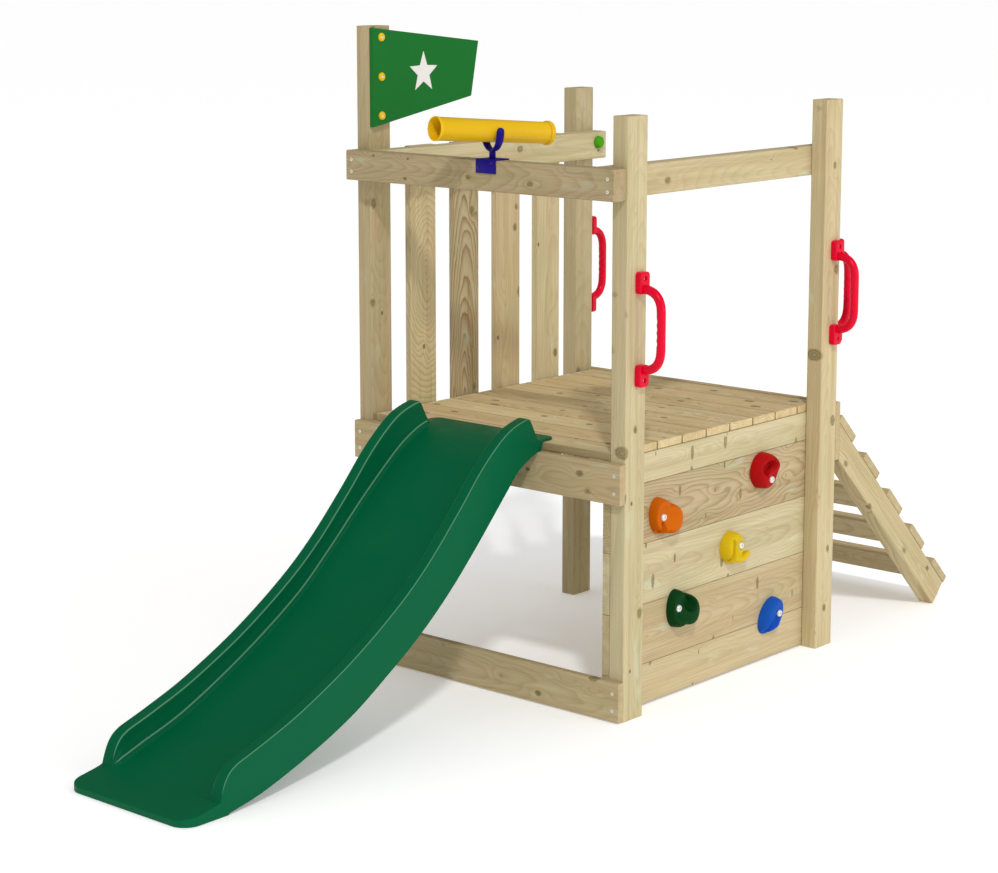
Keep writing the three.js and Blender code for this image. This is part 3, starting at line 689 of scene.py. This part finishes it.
def add_hold(name, look):
    node = f"hold_{name}"
    low, high, centre = box(node)
    bolt = box(f"hold_bolt_{name}")[2] - centre
    bolt_at = (bolt.y / MM, bolt.z / MM)
    shape = HOLDS[name]
    bm = bmesh.new()
    columns = []
    for k in range(HOLD_AROUND):
        angle = 2 * math.pi * k / HOLD_AROUND
        ca, su = math.cos(angle), math.sin(angle)
        reach = hold_reach(shape, ca, su)
        column = []
        for i in range(1, HOLD_RINGS + 1):
            r = reach * math.sin(math.pi / 2 * i / HOLD_RINGS)
            a, u = r * ca, r * su
            height = 0.0 if i == HOLD_RINGS else hold_height(shape, a, u, bolt_at)
            column.append(bm.verts.new((height, a, u)))
        columns.append(column)
    middle = bm.verts.new((hold_height(shape, 0, 0, bolt_at), 0, 0))
    for k in range(HOLD_AROUND):
        here, there = columns[k], columns[(k + 1) % HOLD_AROUND]
        bm.faces.new((middle, here[0], there[0]))
        for i in range(HOLD_RINGS - 1):
            bm.faces.new((here[i], here[i + 1], there[i + 1], there[i]))
    bm.faces.new([column[-1] for column in reversed(columns)])
    if name == "yellow":
        merge(bm, hook())
    fit_to_box(bm, low, high)
    seat = Vector((low.x + BORE_SEAT, centre.y + bolt.y, centre.z + bolt.z))
    bore = lathe([(0, 0), (BORE, 0), (BORE, BORE_LENGTH), (0, BORE_LENGTH)], 40, aimed(seat, X))
    cut = boolean(bm, bore, "DIFFERENCE")
    return add_piece(f"{node}_moulding", cut, look, [node], sharp=50)


def hook():
    """The yellow hold's curled tail, as a tapering bar with a round end, in millimetres."""
    bm = bmesh.new()
    sides, steps, thick = 20, 22, 9.5
    rings = []
    for i in range(steps + 1):
        t = i / steps
        angle = -2.2 + 2.1 * t
        middle = Vector((15 + 9 * t, 14 + 24 * math.cos(angle), -11 + 20 * math.sin(angle)))
        r = thick * (1 - 0.3 * t) * math.sqrt(max(1 - max(t - 0.85, 0) ** 2 / 0.15 ** 2, 0.0004))
        outward = Vector((0, math.cos(angle), math.sin(angle)))
        ring = []
        for k in range(sides):
            b = 2 * math.pi * k / sides
            stand = X * (min(r * 1.4, 13) * math.sin(b))
            ring.append(bm.verts.new(middle + outward * (r * math.cos(b)) + stand))
        rings.append(ring)
    bridge(bm, rings)
    bm.faces.new(rings[0])
    bm.faces.new(reversed(rings[-1]))
    return bm


def fit_to_box(bm, low, high):
    """Stretches bm so that its box is exactly low to high."""
    own_low = Vector([min(v.co[i] for v in bm.verts) for i in range(3)])
    own_high = Vector([max(v.co[i] for v in bm.verts) for i in range(3)])
    for v in bm.verts:
        share = [(v.co[i] - own_low[i]) / (own_high[i] - own_low[i]) for i in range(3)]
        v.co = [low[i] + share[i] * (high[i] - low[i]) for i in range(3)]


def boolean(first, second, operation):
    """The bmesh of first joined with, or cut by, second."""
    objects = []
    for bm in (first, second):
        bmesh.ops.recalc_face_normals(bm, faces=bm.faces)
        mesh = bpy.data.meshes.new("part")
        bm.to_mesh(mesh)
        bm.free()
        objects.append(bpy.data.objects.new("part", mesh))
        bpy.context.scene.collection.objects.link(objects[-1])
    modifier = objects[0].modifiers.new("cut", "BOOLEAN")
    modifier.object = objects[1]
    modifier.operation = operation
    modifier.solver = "EXACT"
    modifier.use_self = True
    result = bmesh.new()
    result.from_object(objects[0], bpy.context.evaluated_depsgraph_get())
    for o in objects:
        mesh = o.data
        bpy.data.objects.remove(o)
        bpy.data.meshes.remove(mesh)
    return result


HEAD, SHANK, HEAD_ROUND = 6 * MM, 5 * MM, 4 * MM
HEAD_SWING = math.radians(62)
SOCKET, SOCKET_DEEP = 3.2 * MM, 3 * MM
NUT_PLATE, NUT_RADIUS, NUT_BARREL, NUT_REACH = 1.2 * MM, 11 * MM, 1.6 * MM, 5 * MM


def add_hold_bolt(name, look):
    """A button head with a round socket, its shank, and the T-nut behind the board."""
    low, high, centre = box(f"hold_bolt_{name}")
    r = (high.y - low.y) / 2
    length = high.x - low.x
    under = length - HEAD
    profile = [(0, 0), (SHANK - 0.6 * MM, 0), (SHANK, 0.8 * MM), (SHANK, under), (r, under),
               (r, under + 2 * MM)]
    for i in range(1, 7):
        a = i / 6 * HEAD_SWING
        rise = HEAD_ROUND * math.sin(a) / math.sin(1.083)
        profile.append((HEAD_ROUND + (r - HEAD_ROUND) * math.cos(a), length - HEAD_ROUND + rise))
    bottom = length - SOCKET_DEEP
    profile += [(SOCKET + 0.4 * MM, length), (SOCKET, length - 0.5 * MM), (SOCKET, bottom),
                (0, bottom)]
    bm = lathe(profile, 36, aimed(Vector((low.x, centre.y, centre.z)), X))
    board = box("wall_board_3")[0].x
    inner, outer = SHANK + 0.4 * MM, SHANK + NUT_BARREL
    nut = [(inner, 0), (NUT_RADIUS - 0.4 * MM, 0), (NUT_RADIUS, 0.3 * MM),
           (NUT_RADIUS, NUT_PLATE), (outer, NUT_PLATE), (outer, NUT_PLATE + NUT_REACH),
           (inner, NUT_PLATE + NUT_REACH)]
    merge(bm, lathe(nut, 36, aimed(Vector((board - NUT_PLATE, centre.y, centre.z)), X)))
    return add_piece(f"hold_bolt_{name}_steel", bm, look, [f"hold_bolt_{name}"])


# ---- slide
# Side lines, as (distance in front of the posts, height) in millimetres.
SLIDE_TOP_LINE = [
    (46, 684), (62, 688), (130, 664), (211, 600), (298, 508), (400, 408),
    (500, 330), (640, 243), (789, 170), (898, 129), (968, 106),
]
SLIDE_FLOOR_LINE = [
    (-45, 633), (5, 633), (45, 627), (90, 609), (150, 571), (258, 482),
    (370, 380), (480, 289), (647, 187), (821, 101), (943, 59), (1030, 31), (1124, 15),
]
SLIDE_SKIRT_LINE = [
    (56, 592), (92, 570), (130, 531), (242, 415), (333, 329),
    (428, 254), (528, 189), (640, 124), (767, 70), (905, 24), (1000, 4),
]
SLIDE_NOSE = [(982, 100), (995, 92), (1006, 80), (1014, 66), (1021, 48), (1026, 32)]


def curve_through(points, steps=14):
    """Reach and height arrays of a Catmull-Rom curve through the points, in metres."""
    p = [points[0], *points, points[-1]]
    out = []
    for i in range(1, len(p) - 2):
        for k in range(steps):
            t = k / steps
            point = []
            for axis in (0, 1):
                a, b, c, d = (p[i + j][axis] for j in (-1, 0, 1, 2))
                point.append(0.5 * (2 * b + (c - a) * t + (2 * a - 5 * b + 4 * c - d) * t * t
                                    + (3 * b - a - 3 * c + d) * t ** 3))
            out.append(point)
    out.append(points[-1])
    return np.array(out).T * MM


RAIL, SKIN, ROUND = 32 * MM, 5 * MM, 3 * MM  # rail's width, wall, rounding of the ends
RAIL_FROM, RAIL_TO = 15 * MM, 1031 * MM  # where the side rails stand
SKIRT_FROM = 9 * MM  # where the slide is deeper than its floor's skin


def arc(across, up, radius, angles):
    return [(across + radius * math.cos(a), up + radius * math.sin(a)) for a in angles]


def slide_section(reach, lines, half, end_gap):
    """One closed cross-section: its (x, z) points, left to right over the top and back below,
    the indices of the points on its edges with a painted highlight, and the highlight's strength."""
    top_line, floor_line, skirt_line = lines
    floor = float(np.interp(reach, *floor_line))
    top = floor
    if RAIL_FROM < reach < RAIL_TO:
        top = max(floor, float(np.interp(reach, *top_line)))
    rise = top - floor
    bottom = floor - SKIN
    if reach > SKIRT_FROM:
        bottom = float(np.interp(reach, *skirt_line))
    edge = min(3.5 * MM, 2.2 * MM + 0.3 * rise)
    rim = end_gap / ROUND
    if rim < 1:
        drop = ROUND * (1 - math.sqrt(max(1 - (1 - rim) ** 2, 0)))
        floor, top = floor - drop, top - drop

    # The outer edge, the brow where the rail's top turns down, and the steep inner wall.
    eighth = math.pi / 8
    points = [(-half, bottom), (-half, top - edge)]
    points += arc(-half + edge, top - edge, edge, [math.pi - i * eighth for i in range(1, 5)])
    wall = -half + RAIL
    brow = min(5 * MM, 0.35 * rise)
    # The rail's rounded top edges get a painted highlight.
    painted_highlight = [3, 4, len(points) + 2, len(points) + 3]
    points += arc(wall - brow, top - brow, brow, [math.pi / 2 - i * eighth for i in range(5)])
    ledge_z = floor + min(13 * MM, 0.3 * rise)
    ledge_w = min(11 * MM, 0.28 * rise)
    bead = min(6 * MM, 0.14 * rise)
    for t in (0.3, 0.6, 0.85):
        wall_z = top - brow + (ledge_z - top + brow) * t
        points.append((wall + 0.6 * ledge_w * t ** 3, wall_z))

    # The bead along the ledge, the hollow at its foot, and the floor.
    # The bead along the ledge gets a painted highlight as well.
    painted_highlight += [len(points) + 2, len(points) + 3]
    points += arc(wall + ledge_w - bead, ledge_z - bead, bead,
                  [math.pi / 2 - i * eighth * 0.85 for i in range(5)])
    foot, left = min(8 * MM, 0.15 * rise), max(ledge_z - 1.05 * bead - floor, 0)
    for t in (0, 0.2, 0.4, 0.6, 0.8, 1):
        foot_x = wall + ledge_w + (0.1 + 0.9 * t * t) * foot
        points.append((foot_x, floor + left * (1 - t) ** 2))
    for t in (0.35, 0.7):
        points.append(((wall + ledge_w + foot) * (1 - t), floor))
    over = points + [(0.0, floor)] + [(-x, z) for x, z in reversed(points)]

    # The underside, hollow in the rails and open below.
    under_floor = bottom if end_gap < SKIN else floor - SKIN
    inner_top = bottom if end_gap < SKIN else max(top - SKIN, under_floor)
    below = [
        (-half + SKIN, max(bottom, 0)), (-half + SKIN, inner_top), (wall - SKIN, inner_top),
        (wall - SKIN, under_floor), (0.5 * wall, under_floor),
    ]
    if under_floor <= bottom:
        below[0] = (-half + SKIN, under_floor)
    under = [(-x, z) for x, z in below] + [(0.0, under_floor)] + list(reversed(below))
    # The same edges on the other rail get the painted highlight too.
    painted_highlight += [len(over) - 1 - i for i in painted_highlight]
    return over + under, painted_highlight, min(rise / (30 * MM), 1)


BACK_CORNER, FRONT_CORNER = 24 * MM, 40 * MM  # corner radii in plan


def corner_loss(gap, radius):
    """How much a round corner takes off the half width at this distance from the end."""
    if gap >= radius:
        return 0.0
    return radius - math.sqrt(max(radius ** 2 - (radius - gap) ** 2, 0))


def add_slide(look):
    low, high, _ = box("slide")
    front = box("post_front_right")[0].y
    half, middle = (high.x - low.x) / 2, (high.x + low.x) / 2
    lip, toe = high.y - front, front - low.y
    top_s, top_z = curve_through(SLIDE_TOP_LINE + SLIDE_NOSE)
    top_s, top_z = np.append([16 * MM], top_s), np.append([628 * MM], top_z)
    skirt_s, skirt_z = curve_through(SLIDE_SKIRT_LINE)
    skirt_s = np.concatenate(([SKIRT_FROM, 20 * MM], skirt_s, [1006 * MM, 1.2]))
    skirt_z = np.concatenate(([608 * MM, 606.5 * MM], skirt_z, [0.4 * MM, 0.4 * MM]))
    lines = ((top_s, top_z), curve_through(SLIDE_FLOOR_LINE), (skirt_s, skirt_z))

    # Stations from the lip to the toe, closer together where the shape turns.
    ease = [1 - math.cos(math.pi / 2 * i / 14) for i in range(15)]
    stations = [-lip + BACK_CORNER * e for e in ease]
    ends = (-lip + BACK_CORNER, 9.2 * MM, 75 * MM, 960 * MM, 1040 * MM, toe - FRONT_CORNER)
    for start, end, count in zip(ends, ends[1:], (8, 34, 110, 48, 8)):
        stations += list(np.linspace(start, end, count)[1:])
    stations += [toe - FRONT_CORNER * e for e in reversed(ease[:-1])]

    bm = bmesh.new()
    # Per-vertex strength of the painted highlight on the rail edges, read by the slide's material.
    layer = bm.verts.layers.float.new("painted_highlight")
    rings = []
    for s in stations:
        from_back, from_front = s + lip, toe - s
        width = half - corner_loss(from_back, BACK_CORNER) - corner_loss(from_front, FRONT_CORNER)
        section, painted_highlight, share = slide_section(s, lines, half, min(from_back, from_front))
        ring = [bm.verts.new((middle + x * width / half, front - s, z)) for x, z in section]
        for i in painted_highlight:
            ring[i][layer] = share
        rings.append(ring)
    bridge(bm, rings)
    bm.faces.new(rings[0])
    bm.faces.new(reversed(rings[-1]))
    bmesh.ops.remove_doubles(bm, verts=bm.verts, dist=0.02 * MM)
    bmesh.ops.dissolve_degenerate(bm, edges=bm.edges, dist=0.01 * MM)
    return add_piece("slide_moulding", bm, look, ["slide"], sharp=42)


# ---- grab handles
GRIP = 10.4 * MM
WAVE, WAVE_FROM, WAVE_TO, WAVE_LENGTH = 2.4 * MM, 0.36, 0.62, 0.065  # last three: shares of length
PAD_WIDTH, PAD_HEIGHT, PAD_THICK, PAD_ROUND = 34 * MM, 50 * MM, 16 * MM, 2.2 * MM
PAD_GAP = 0.3 * MM  # between pad and post
PAD_SCREW = 15 * MM  # distance of the screw from the handle's end
RECESS, RECESS_MOUTH, RECESS_DEPTH = 5.4 * MM, 6.2 * MM, 6 * MM


def handle_mesh(length, reach):
    """The bar. Local frame: +X out of the post, +Z up from the lower end."""
    grip = reach - GRIP
    bend = [(5 * MM, 39 * MM), (28 * MM, 41 * MM), (46 * MM, 50 * MM), (grip - 4 * MM, 66 * MM),
            (grip, 88 * MM), (grip, length / 2)]
    line = bend + [(x, length - z) for x, z in reversed(bend[:-1])]
    xs, zs = curve_through([(x / MM, z / MM) for x, z in line], 24)
    xs = np.minimum(xs, grip)
    bm = bmesh.new()
    sides = 28
    rings = []
    for i in range(len(xs)):
        a, b = max(i - 1, 0), min(i + 1, len(xs) - 1)
        run = Vector((xs[b] - xs[a], 0, zs[b] - zs[a])).normalized()
        inward = Vector((-run.z, 0, run.x))
        wave = 0.0
        if WAVE_FROM * length < zs[i] < WAVE_TO * length:
            turns = (zs[i] / length - WAVE_FROM) / WAVE_LENGTH
            wave = WAVE * (0.5 - 0.5 * math.cos(2 * math.pi * turns))
        ring = []
        for k in range(sides):
            angle = 2 * math.pi * k / sides
            side = math.cos(angle)
            own = GRIP - wave * max(side, 0) ** 2
            out = inward * own * side + Y * own * math.sin(angle)
            ring.append(bm.verts.new(Vector((xs[i], 0, zs[i])) + out))
        rings.append(ring)
    bridge(bm, rings)
    bm.faces.new(rings[0])
    bm.faces.new(reversed(rings[-1]))
    return bm


def pad_mesh(z, screw_z):
    """A pad with round corners and edges, and a round recess for its screw."""
    bm = bmesh.new()
    corner, steps = 0.24 * PAD_WIDTH, 8
    half_y, half_z = PAD_WIDTH / 2, PAD_HEIGHT / 2
    outline = []
    for cx, cz, start in ((1, 1, 0), (-1, 1, 1), (-1, -1, 2), (1, -1, 3)):
        for i in range(steps + 1):
            a = (start + i / steps) * math.pi / 2
            outline.append((cx * (half_y - corner) + corner * math.cos(a),
                            cz * (half_z - corner) + corner * math.sin(a)))
    flat = PAD_THICK - PAD_ROUND
    layers = [(PAD_GAP, 0.0), (flat, 0.0)]
    layers += [(flat + PAD_ROUND * math.sin(a), PAD_ROUND * (1 - math.cos(a)))
               for a in (math.pi / 8, math.pi / 4, 3 * math.pi / 8, math.pi / 2)]
    rings = []
    for x, shrink in layers:
        scale_y, scale_z = 1 - shrink / half_y, 1 - shrink / half_z
        rings.append([bm.verts.new((x, y * scale_y, z + dz * scale_z)) for y, dz in outline])
    bridge(bm, rings)
    bm.faces.new(reversed(rings[0]))
    bm.faces.new(rings[-1])
    recess = lathe([(0, 0), (RECESS, 0), (RECESS_MOUTH, PAD_THICK), (0, PAD_THICK)], 28,
                   aimed(Vector((PAD_THICK - RECESS_DEPTH, 0, screw_z)), X))
    return boolean(bm, recess, "DIFFERENCE")


def add_handles(look, screw_look):
    screws = []
    for node, out in (("handle_front_right", X), ("handle_back_right", X),
                      ("handle_ladder_right", Y), ("handle_ladder_left", Y)):
        low, high, _ = box(node)
        length = high.z - low.z
        face = Vector((low.x, (low.y + high.y) / 2, low.z))
        if out is Y:
            face = Vector(((low.x + high.x) / 2, low.y, low.z))
        face -= out * PAD_GAP
        reach = (high - low).dot(out) + PAD_GAP
        bm = handle_mesh(length, reach)
        for side in (-1, 1):
            z = length / 2 + side * (length - PAD_HEIGHT) / 2
            screw_z = length / 2 + side * (length / 2 - PAD_SCREW)
            bm = boolean(bm, pad_mesh(z, screw_z), "UNION")
            screws.append((face + out * (PAD_THICK - 5.6 * MM) + Z * screw_z, out))
        turn = 0 if out is X else math.pi / 2
        matrix = Matrix.Translation(face) @ Matrix.Rotation(turn, 4, "Z")
        bmesh.ops.transform(bm, matrix=matrix, verts=bm.verts)
        add_piece(f"{node}_moulding", bm, look, [node], sharp=45)
    add_screws("handle_screws", screws, screw_look, 4.4 * MM)


# ---- flag
FLAG_CAP, FLAG_CAP_TALL, FLAG_CAP_RIM = 10.5 * MM, 5.5 * MM, 1.2 * MM
FLAG_CAP_ACROSS, FLAG_CAP_HEIGHTS = 29 * MM, (1.546, 1.451, 1.357)


def add_flag(board_look, emblem_look, cap_look, screw_look):
    bm = copied("flag_board")
    soften(bm, 0.8 * MM)
    add_piece("flag_panel_board", bm, board_look, ["flag_board"], weighted=True)
    bm = copied("flag_emblem")
    soften(bm, 0.3 * MM, segments=1)
    add_piece("flag_star", bm, emblem_look, ["flag_emblem"], weighted=True)

    low, high, _ = box("flag_board")
    r, t, rim = FLAG_CAP, FLAG_CAP_TALL, FLAG_CAP_RIM
    profile = [(0, 0), (r, 0), (r, rim)]
    for i in range(1, 8):
        a = i / 7 * math.radians(72)
        profile.append((4 * MM + (r - 4 * MM) * math.cos(a), rim + (t - rim) * math.sin(a) / 0.951))
    bottom = t - 1.4 * MM
    profile += [(4.6 * MM, t), (4.1 * MM, t - 0.5 * MM), (4.1 * MM, bottom), (0, bottom)]
    screws = []
    for k, z in enumerate(FLAG_CAP_HEIGHTS):
        place = Vector((high.x, low.y + FLAG_CAP_ACROSS, z))
        bm = lathe(profile, 40, aimed(place, X))
        add_piece(f"flag_cap_{k + 1}", bm, cap_look)
        screws.append((place + X * (t - 1.1 * MM), X))
    add_screws("flag_screws", screws, screw_look, 3.6 * MM)


def add_rail_cap(look):
    """The bolt through the left top rail, with its domed cap."""
    low, high, centre = box("rail_bolt")
    r = (high.y - low.y) / 2
    face = box("top_rail_left")[1].x + 0.3 * MM
    tall, rim, end = high.x - face, 3 * MM, low.x - face
    profile = [(0, end), (SHANK, end), (SHANK, 0), (r - 0.6 * MM, 0), (r, 0.6 * MM), (r, rim)]
    for i in range(1, 13):
        a = i / 12 * math.pi / 2
        profile.append((r * math.cos(a) ** 0.7 if i < 12 else 0, rim + (tall - rim) * math.sin(a)))
    bm = lathe(profile, 44, aimed(Vector((face, centre.y, centre.z)), X))
    add_piece("rail_bolt_cap", bm, look, ["rail_bolt"])


# ---- telescope
TUBE_HALF, TUBE_REAR, TUBE_FRONT, TUBE_WALL = 162 * MM, 25.5 * MM, 28.5 * MM, 2.4 * MM
SCOPE_PAN, SCOPE_LIFT = math.radians(13.4), math.radians(4.2)
HUB_FROM_AXIS = 26.4 * MM

# (radius beyond the tube's front or rear radius, distance from the front or rear end), in mm.
TUBE_LIP = [(-1.2, -9), (-0.2, -7.6), (0, -6.5), (0, -1.4), (-0.4, -0.4), (-1.2, 0), (-1.8, 0),
            (-2.4, -0.8)]
EYE_RING = [(0.3, 12), (0.3, 5.7), (-3, 5.7), (-7, 3), (-7, 0.6), (-6.4, 0), (0.6, 0), (2, 0.8),
            (3, 3), (3, 10), (2.6, 11.4), (1.8, 12)]
HUB = [(0, 0), (9.5, 0), (9.5, 1.4), (8.6, 2.2), (0, 2.2)]


def offset_profile(points, radius, height):
    return [(radius + r * MM, height + h * MM) for r, h in points]


def add_telescope(tube_look, bracket_look, screw_look):
    tilt = next(j for j in frame["joints"] if j["name"] == "telescope_tilt")
    pivot = Vector(tilt["pos_m"])
    level = math.cos(SCOPE_LIFT)
    forward = Vector((-math.sin(SCOPE_PAN) * level, -math.cos(SCOPE_PAN) * level,
                      math.sin(SCOPE_LIFT)))
    place = aimed(pivot, forward)
    rear = 4 * MM - TUBE_HALF
    profile = [(TUBE_REAR, rear), *offset_profile(TUBE_LIP, TUBE_FRONT, TUBE_HALF),
               (TUBE_REAR - TUBE_WALL, rear)]
    tube = lathe(profile, 72, place)
    side = Vector(tilt["axis"]).normalized()
    for sign in (-1, 1):
        out = side * sign
        hub = lathe(offset_profile(HUB, 0, 0), 32, aimed(pivot + out * HUB_FROM_AXIS, out))
        merge(tube, hub)
    add_piece("telescope_barrel", tube, tube_look, ["telescope_tube"],
              "telescope_tube", 40)
    ring = lathe(offset_profile(EYE_RING, TUBE_REAR, -TUBE_HALF - 2 * MM), 72, place)
    add_piece("telescope_eyepiece", ring, tube_look,
              ["telescope_eye_ring"], "telescope_tube", 40)

    bm = copied("telescope_fork")
    soften(bm, 0.7 * MM, 40)
    add_piece("telescope_yoke", bm, bracket_look,
              ["telescope_fork"], "telescope_fork", 40)
    bm = copied("telescope_bracket")
    soften(bm, 0.6 * MM, 40)
    add_piece("telescope_saddle", bm, bracket_look,
              ["telescope_bracket"], sharp=40)
    low, high, _ = box("telescope_bracket")
    places = [((low.x + 6 * MM, low.y, low.z + 14 * MM), -Y),
              ((high.x - 12 * MM, low.y, low.z + 25 * MM), -Y)]
    add_screws("saddle_screws", places, screw_look, 2.6 * MM)


# ---- looks
# Colours are sRGB. Woods: early wood, late wood, green stain, half sizes of a knot, strength of the
# painted shade in the gaps between boards.
WOODS = {
    "frame": ((198, 185, 145), (146, 114, 68), (172, 168, 118), (0.0105, 0.0075, 0.016), 0.0),
    "deck": ((218, 200, 154), (164, 124, 72), (190, 182, 130), (0.0105, 0.007, 0.016), 0.55),
    "wall": ((200, 188, 150), (140, 106, 62), (176, 170, 122), (0.0046, 0.013, 0.02), 0.6),
}
# Plastics: base, worn, roughness, fineness and depth of the skin, scuffs, shine, painted highlight
# on marked edges.
PLASTICS = {
    "slide_green": ((0, 91, 56), (10, 99, 63), 0.34, 1100, 0.05 * MM, 0.3, 0.07, 0.5),
    "handle_red": ((214, 2, 43), (220, 10, 52), 0.3, 800, 0.05 * MM, 0.2, 0.12),
    "flag_green": ((19, 107, 38), (30, 118, 50), 0.55, 1500, 0.06 * MM, 0.15, 0.1),
    "emblem_white": ((228, 226, 222), (210, 206, 200), 0.5, 1500, 0.03 * MM, 0.1, 0.2),
    "telescope_yellow": ((226, 180, 4), (232, 192, 36), 0.34, 900, 0.05 * MM, 0.2, 0.25),
    "bracket_blue": ((23, 7, 117), (36, 20, 134), 0.36, 900, 0.05 * MM, 0.2, 0.12),
    "cap_green": ((66, 152, 4), (98, 172, 40), 0.36, 900, 0.05 * MM, 0.2, 0.12),
}
HOLD_SKIN = (0.55, 700, 0.4 * MM, 0.3, 0.08)
HOLD_COLOURS = {
    "red": ((168, 8, 12), (188, 30, 28)), "orange": ((194, 92, 0), (206, 112, 14)),
    "yellow": ((206, 173, 10), (218, 194, 48)), "green": ((4, 56, 18), (14, 74, 32)),
    "blue": ((18, 78, 174), (44, 104, 194)),
}


def build():
    set_stage()
    woods = {}
    for name, (early, late, green, knot_size, gap_shade) in WOODS.items():
        colours = linear(*early), linear(*late), linear(*green)
        woods[name] = wood(f"{name}_pine", *colours, knot_size, gap_shade)
    looks = {name: plastic(name, *values) for name, values in PLASTICS.items()}
    zinc = steel("zinc", (205, 206, 203), (236, 236, 232))
    dark_steel = steel("dark_screws", (38, 36, 48), (62, 60, 72))

    add_all_timber(woods)
    add_all_screws(zinc)
    for name, colours in HOLD_COLOURS.items():
        add_hold(name, plastic(f"hold_{name}", *colours, *HOLD_SKIN))
        add_hold_bolt(name, zinc)
    add_slide(looks["slide_green"])
    add_handles(looks["handle_red"], zinc)
    add_flag(looks["flag_green"], looks["emblem_white"], looks["telescope_yellow"], zinc)
    add_rail_cap(looks["cap_green"])
    add_telescope(looks["telescope_yellow"], looks["bracket_blue"], dark_steel)


build()
